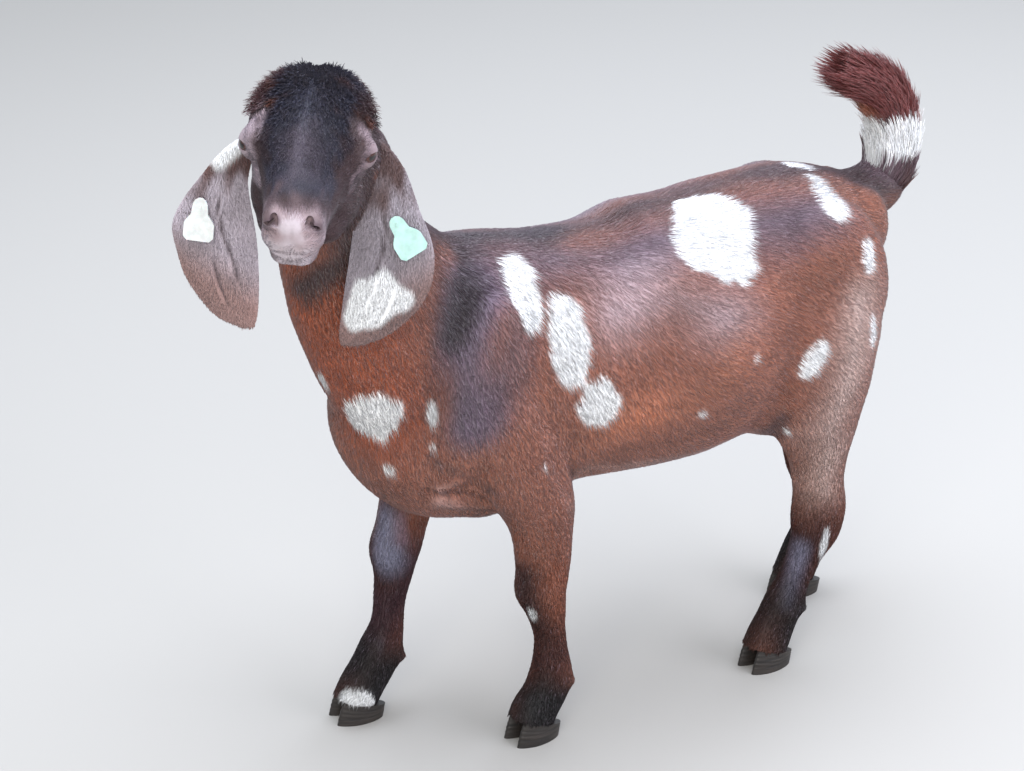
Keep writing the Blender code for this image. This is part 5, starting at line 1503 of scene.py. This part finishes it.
def ear(side, material, coat_material):
    """An ear's skin and its short coat."""
    name = "ear_left" if side > 0 else "ear_right"
    leaf = ear_skin(side)
    points, normals, corners = mesh_arrays(leaf)
    root, across, faces = (np.array(v) for v in ear_frame(side))

    def on_ear(spots):
        """Places on the ear: how far down, share of the half width, and height over its middle sheet."""
        rows = ear_rows(side, EAR_TABLE_ROWS)
        drop = root[2] - spots[:, 2]
        middle, half, lift = (np.interp(drop, rows[:, 0], rows[:, n]) for n in (1, 2, 3))
        share = np.clip(((spots - root) @ across - middle) / np.maximum(half, 1e-4), -1, 1)
        sheet = lift + EAR_CUP * 2 * half * (1 - share**2) - EAR_THICKNESS / 2 + ear_fold(drop, share)
        return drop, share, (spots - root) @ faces - sheet

    def colours(spots):
        """Grey of a painted sheen, rosy towards the tip and brown at the root, with painted shade in the
        creases and white spots.
        """
        drop, share, height = on_ear(spots)
        base = np.tile(linear(EAR_SHEEN_GREY), (len(spots), 1))
        streaks = streaked(spots, *EAR_STREAKS)
        for code, cover in (
            (EAR_ROSE, smooth_step((drop - EAR_ROSY[0] + EAR_WAVER * share) / EAR_ROSY[1])),
            (EAR_TOP, smooth_step((EAR_BROWN[0] - drop + EAR_WAVER * streaks) / EAR_BROWN[1])),
            (EAR_CREASE_SHADE, CREASE_SHADE * creases(drop, share + EAR_WAVER * streaks) * (height > -EAR_COAT)),
        ):
            base = base * (1 - cover[:, None]) + linear(code) * cover[:, None]
        marble = ripple(spots, *EAR_MARBLE)
        base *= (EAR_LEVEL[name] * (1 + EAR_MOTTLE * marble + EAR_MOTTLE * streaks))[:, None]
        level, ragged, softness = EAR_SPOT_EDGE
        edge = level * streaked(spots, *EAR_SPOT_STREAKS)
        for radius, line in EAR_SPOTS[name]:
            away = from_line(spots, line)[0] - radius * (1 + ragged * edge)
            away = np.where(height > -EAR_COAT, away, 1.0)
            cover = smooth_step(0.5 - away / softness)[:, None]
            base = base * (1 - cover) + linear(WHITE) * cover
        return base

    colour_points(leaf.data, colours(points))
    leaf.name = f"{name}_skin"
    dressed(leaf, material)
    rng = np.random.default_rng(SEED + 3 + side)
    length, width, height = EAR_HAIR
    wanted = EAR_COVER * areas(points, corners) / (BLADE * length * width)
    roots, ways = scattered(points, normals, corners, wanted, rng)
    down = np.tile((0.0, 0.0, -1.0), (len(roots), 1))
    drop, share, _ = on_ear(roots)
    trims = ((np.abs(share), *EAR_EDGE_TRIM), (drop, *EAR_TIP_TRIM))
    edge, tip = (1 - off * smooth_step((place - start) / over) for place, start, over, off in trims)
    hair = (length * edge * tip, np.full(len(roots), width), np.full(len(roots), height))
    (left, wide), (top, tall) = EAR_MAP
    places = np.stack([left + (roots - root) @ across * wide, top - (root[2] - roots[:, 2]) * tall], 1)
    made = grown((roots, ways), down, hair, places, colours(roots), rng, **EAR_HAIR_LOOK)
    return leaf, piece_of_coat(f"{name}_coat", made, coat_material)


def eyeball(side, material):
    """An eye with a clear bulge, a dark iris and a level oblong pupil."""
    centre, looks = eye_frame(side)
    ball_ = sphere(centre, EYE_RADIUS, "eye_left_ball" if side > 0 else "eye_right_ball", EYE_DETAIL)
    along = UP.cross(looks).normalized()
    up = looks.cross(along)
    points, _, _ = mesh_arrays(ball_)
    off = (points - np.array(centre)) / EYE_RADIUS
    front, level, height = off @ np.array(looks), off @ np.array(along), off @ np.array(up)
    round_ = np.hypot(level, height)
    bulge = EYE_BULGE[0] * np.exp(-((round_ / EYE_BULGE[1]) ** 4)) * (front > 0)
    ball_.data.vertices.foreach_set("co", (points + off * bulge[:, None]).astype(np.float32).ravel())
    spokes = 0.5 + 0.5 * np.sin(np.arctan2(height, level) * IRIS_SPOKES)
    ground, spoke = (linear(code) * share for code, share in zip(IRIS, IRIS_LEVELS))
    iris = ground + np.outer(spokes, spoke)
    white = np.tile(linear(EYE_WHITE), (len(points), 1))
    inside = ((round_ < IRIS_EDGE) & (front > 0)).astype(float)[:, None]
    rim = smooth_step((round_ - IRIS_RIM_FADE[0]) / IRIS_RIM_FADE[1])[:, None]
    colours = white * (1 - inside) + (iris * (1 - rim) + linear(IRIS_RIM) * rim) * inside
    oblong = (np.abs(level) / PUPIL_SIZE[0]) ** 4 + (np.abs(height) / PUPIL_SIZE[1]) ** 4
    pupil = smooth_step(1.0 - oblong) * (front > 0)
    pupil = np.clip(pupil * 3, 0, 1)[:, None]
    colours = colours * (1 - pupil) + linear(PUPIL) * pupil
    colour_points(ball_.data, colours)
    shade_smooth(ball_)
    return dressed(ball_, material)


def shade_smooth(obj):
    """Shades all faces of an object smooth."""
    obj.data.polygons.foreach_set("use_smooth", [True] * len(obj.data.polygons))
    return obj


def hoof(name, side, material):
    """One claw with a flat sole, growth rings round its wall and a soft top edge."""
    along, across, _ = FEET[name]
    toe, left, down = foot_ways(name)
    middle = Vector((along, across, 0.0)) + left * (side * CLAW_SPREAD)
    coronet = Vector((along, across, CORONET_MIDDLE)) + down * CLAW_GAP
    rise, size, back = (np.array(column) for column in zip(*CLAW_RINGS))
    rings = []
    for level in np.linspace(0, 1, CLAW_LEVELS):
        ring = []
        wide = np.interp(level, rise, size)
        set_back = np.interp(level, rise, back)
        ridge = 1 + CLAW_RIDGES[0] * math.sin(level * CLAW_RIDGES[1]) * math.sin(level * math.pi)
        for i in range(CLAW_ROUND):
            a = 2 * math.pi * i / CLAW_ROUND
            reach = CLAW_HALF_LENGTH * wide * math.cos(a) * ridge
            out = CLAW_HALF_WIDTH * wide * (1 - CLAW_TAPER * max(0.0, math.cos(a)) ** 2) * math.sin(a) * ridge
            if out * side < 0:
                out *= CLAW_INNER
            spot = middle + toe * (reach - set_back) + left * out
            top = coronet.z - ((spot - coronet).dot(down) - (spot.z - coronet.z) * down.z) / down.z
            spot.z = level * top
            ring.append(spot)
        rings.append(ring)
    shape = bmesh.new()
    skin_rings(shape, rings, flat=True)
    place = "left" if side > 0 else "right"
    obj = finished(shape, f"hoof_{place}_{name}")
    shade_smooth(obj)
    obj.data.set_sharp_from_angle(angle=CLAW_BEND)
    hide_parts(f"claw_{place}_{name}")
    return dressed(obj, material)


def node(made, kind, links=(), **values):
    """Adds a node to a material, sets its inputs by name and links others to outputs."""
    added = made.node_tree.nodes.new(kind)
    for key, value in values.items():
        if hasattr(added, key):
            setattr(added, key, value)
        else:
            added.inputs[key.replace("_", " ").title()].default_value = value
    for socket, output in links:
        made.node_tree.links.new(output, added.inputs[socket])
    return added


def blank(name):
    """A new material with its shader and its links."""
    made = bpy.data.materials.new(name)
    made.use_nodes = True
    return made, made.node_tree.nodes["Principled BSDF"], made.node_tree.links


def tone(made, low, high, size, base):
    """Multiplies a colour output by a noise between two greys; size is the noise's bump in metres."""
    where = node(made, "ShaderNodeTexCoord")
    place = [("Vector", where.outputs["Object"])]
    noise = node(made, "ShaderNodeTexNoise", place, Scale=1 / size, Detail=4.0)
    level = node(made, "ShaderNodeMapRange", [("Value", noise.outputs["Fac"])], To_Min=low, To_Max=high)
    both = [(0, base), (1, level.outputs["Result"])]
    return node(made, "ShaderNodeVectorMath", both, operation="MULTIPLY").outputs["Vector"], where


def hair_material(name, roughness, sheen, specular=0.5):
    """Short glossy goat hair: each tuft carries its own colour, a little lighter at the tip."""
    made, shader, links = blank(name)
    mark = node(made, "ShaderNodeVertexColor", layer_name="Marking")
    colour, _ = tone(made, 0.82, 1.15, 0.0012, mark.outputs["Color"])  # hairs within a tuft
    links.new(colour, shader.inputs["Base Color"])
    shader.inputs["Roughness"].default_value = roughness
    shader.inputs["Specular IOR Level"].default_value = specular
    shader.inputs["Sheen Weight"].default_value = sheen
    shader.inputs["Sheen Roughness"].default_value = 0.35
    shader.inputs["Sheen Tint"].default_value = (*linear(SHEEN), 1.0)
    return made


def skin_material(name, roughness, bump, size, sheen=0.1):
    """Skin under short hair: the same markings, with the fine bump of close-lying hair and pores."""
    made, shader, links = blank(name)
    mark = node(made, "ShaderNodeVertexColor", layer_name="Marking")
    colour, where = tone(made, 0.80, 1.12, 0.004, mark.outputs["Color"])
    links.new(colour, shader.inputs["Base Color"])
    fine = node(made, "ShaderNodeTexNoise", [("Vector", where.outputs["Object"])], Scale=1 / size, Detail=6.0)
    raised = node(made, "ShaderNodeBump", [("Height", fine.outputs["Fac"])], Strength=bump, Distance=0.0006)
    links.new(raised.outputs["Normal"], shader.inputs["Normal"])
    shader.inputs["Roughness"].default_value = roughness
    shader.inputs["Sheen Weight"].default_value = sheen
    return made


def eye_material():
    """Wet dark eye under a clear hard front."""
    made, shader, links = blank("wet_eye")
    mark = node(made, "ShaderNodeVertexColor", layer_name="Marking")
    links.new(mark.outputs["Color"], shader.inputs["Base Color"])
    shader.inputs["Roughness"].default_value = 0.12
    shader.inputs["Specular IOR Level"].default_value = 0.15
    shader.inputs["Coat Weight"].default_value = 1.0
    shader.inputs["Coat IOR"].default_value = 1.45
    shader.inputs["Coat Roughness"].default_value = 0.02
    return made


def horn_material():
    """Dull black hoof horn with growth bands, lighter where they stand out."""
    made, shader, links = blank("hoof_horn")
    where = node(made, "ShaderNodeTexCoord")
    stretched = node(made, "ShaderNodeMapping", [("Vector", where.outputs["Object"])], vector_type="POINT")
    stretched.inputs["Scale"].default_value = (40.0, 40.0, 420.0)
    bands = node(made, "ShaderNodeTexNoise", [("Vector", stretched.outputs["Vector"])], Scale=1.0, Detail=5.0)
    ramp = node(made, "ShaderNodeValToRGB", [("Fac", bands.outputs["Fac"])])
    ramp.color_ramp.elements[0].position = 0.30
    ramp.color_ramp.elements[0].color = (*linear("#141110"), 1.0)
    ramp.color_ramp.elements[1].position = 0.75
    ramp.color_ramp.elements[1].color = (*linear("#352e2a"), 1.0)
    links.new(ramp.outputs["Color"], shader.inputs["Base Color"])
    raised = node(made, "ShaderNodeBump", [("Height", bands.outputs["Fac"])], Strength=0.5, Distance=0.0006)
    links.new(raised.outputs["Normal"], shader.inputs["Normal"])
    shader.inputs["Roughness"].default_value = 0.48
    return made


def tag_material(name, code):
    """Soft moulded plastic of an ear tag, faintly scuffed and dusty."""
    made, shader, links = blank(name)
    where = node(made, "ShaderNodeTexCoord")
    place = [("Vector", where.outputs["Object"])]
    dust = node(made, "ShaderNodeTexNoise", place, Scale=1 / TAG_DUST, Detail=6.0)
    ramp = node(made, "ShaderNodeValToRGB", [("Fac", dust.outputs["Fac"])])
    ramp.color_ramp.elements[0].position = 0.35
    ramp.color_ramp.elements[0].color = (*(linear(code) * 0.80), 1.0)
    ramp.color_ramp.elements[1].position = 0.60
    ramp.color_ramp.elements[1].color = (*linear(code), 1.0)
    links.new(ramp.outputs["Color"], shader.inputs["Base Color"])
    raised = node(made, "ShaderNodeBump", [("Height", dust.outputs["Fac"])], Strength=0.15, Distance=0.0004)
    links.new(raised.outputs["Normal"], shader.inputs["Normal"])
    shader.inputs["Roughness"].default_value = 0.42
    shader.inputs["Subsurface Weight"].default_value = 0.08
    shader.inputs["Subsurface Scale"].default_value = 0.002
    return made


def floor_and_light():
    """A plain pale floor, a large soft light overhead and two fills."""
    shape = bmesh.new()
    size, code = FLOOR
    bmesh.ops.create_grid(shape, x_segments=1, y_segments=1, size=size)
    floor = finished(shape, "floor")
    made, shader, _ = blank("pale_floor")
    shader.inputs["Base Color"].default_value = (*linear(code), 1.0)
    shader.inputs["Roughness"].default_value = 0.85
    dressed(floor, made)
    for name, place, size, power, code in LIGHTS:
        light = bpy.data.lights.new(name, "AREA")
        light.shape = "RECTANGLE"
        light.size, light.size_y = size
        light.energy = power
        light.color = linear(code)
        lamp = bpy.data.objects.new(name, light)
        lamp.location = place
        lamp.rotation_euler = (LIGHTS_AIM - Vector(place)).to_track_quat("-Z", "Y").to_euler()
        bpy.context.scene.collection.objects.link(lamp)
    world = bpy.data.worlds.new("sky")
    world.use_nodes = True
    code, strength = SKY
    world.node_tree.nodes["Background"].inputs["Color"].default_value = (*linear(code), 1.0)
    world.node_tree.nodes["Background"].inputs["Strength"].default_value = strength
    bpy.context.scene.world = world


def camera(shift):
    """The photograph's view: from the front left and above."""
    a, e = math.radians(CAMERA_AZIMUTH), math.radians(CAMERA_HEIGHT)
    back = Vector((math.sin(a) * math.cos(e), -math.cos(a) * math.cos(e), math.sin(e)))
    lens = bpy.data.cameras.new("camera")
    lens.sensor_width = SENSOR_WIDTH
    lens.lens = CAMERA_LENS
    eye = bpy.data.objects.new("camera", lens)
    eye.location = CAMERA_TARGET + shift + back * CAMERA_DISTANCE
    eye.rotation_euler = back.to_track_quat("Z", "Y").to_euler()
    bpy.context.scene.collection.objects.link(eye)
    bpy.context.scene.camera = eye


def placed(obj, shift):
    """Moves a finished piece from the model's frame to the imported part's."""
    obj.data.transform(Matrix.Translation(shift))
    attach(obj, "root")
    return obj


def main():
    """Makes every piece, then moves them all from the model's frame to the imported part's."""
    low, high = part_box("eye_left")
    shift = (low + high) / 2 - eye_frame(1)[0]
    camera(shift)
    floor_and_light()
    hair = hair_material("short_hair", roughness=0.38, sheen=0.24, specular=1.0)
    leg_hair = hair_material("leg_hair", roughness=0.50, sheen=0.05, specular=0.35)
    face_hair = hair_material("face_hair", roughness=0.45, sheen=0.11, specular=0.6)
    long_hair = hair_material("long_hair", roughness=0.46, sheen=0.20, specular=0.7)
    body = skin()
    points, _, _ = mesh_arrays(body)
    # Painted shade: the skin under the coat is darker than the hair
    colour_points(body.data, coat_colour(points) * UNDERCOAT)
    shade_smooth(body)
    body.data.set_sharp_from_angle(angle=SKIN_BEND)
    dressed(body, skin_material("skin", roughness=0.62, bump=0.5, size=0.0016))
    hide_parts("torso", "neck", "head", "tail", *LEGS)
    pieces = [body]
    coats = body_coat(body, {"coat": hair, "leg_coat": leg_hair, "head_coat": face_hair})
    coats += [tail_brush(long_hair), crown_tufts(body, long_hair)]
    pieces += coats
    ear_flesh = skin_material("ear_skin", roughness=0.60, bump=0.4, size=0.0012)
    ear_hair = hair_material("ear_hair", roughness=0.48, sheen=0.25, specular=0.7)
    for side, name in ((1, "left"), (-1, "right")):
        leaf, coat = ear(side, ear_flesh, ear_hair)
        shade_smooth(leaf)
        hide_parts(f"ear_{name}")
        pieces += [leaf, coat]
    wet = eye_material()
    for side, name in ((1, "left"), (-1, "right")):
        eye = eyeball(side, wet)
        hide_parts(f"eye_{name}")
        pieces.append(eye)
    horn = horn_material()
    for name in FEET:
        pieces += [hoof(name, 1, horn), hoof(name, -1, horn)]
    for obj in pieces:
        placed(obj, shift)
    for name, look in TAGS.items():
        dressed(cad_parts[name], tag_material(*look))
    bpy.context.scene.view_settings.view_transform = "Standard"
    counts = {obj.name: len(obj.data.loop_triangles) or len(obj.data.polygons) for obj in pieces}
    print("triangles", sum(counts.values()), counts)


main()
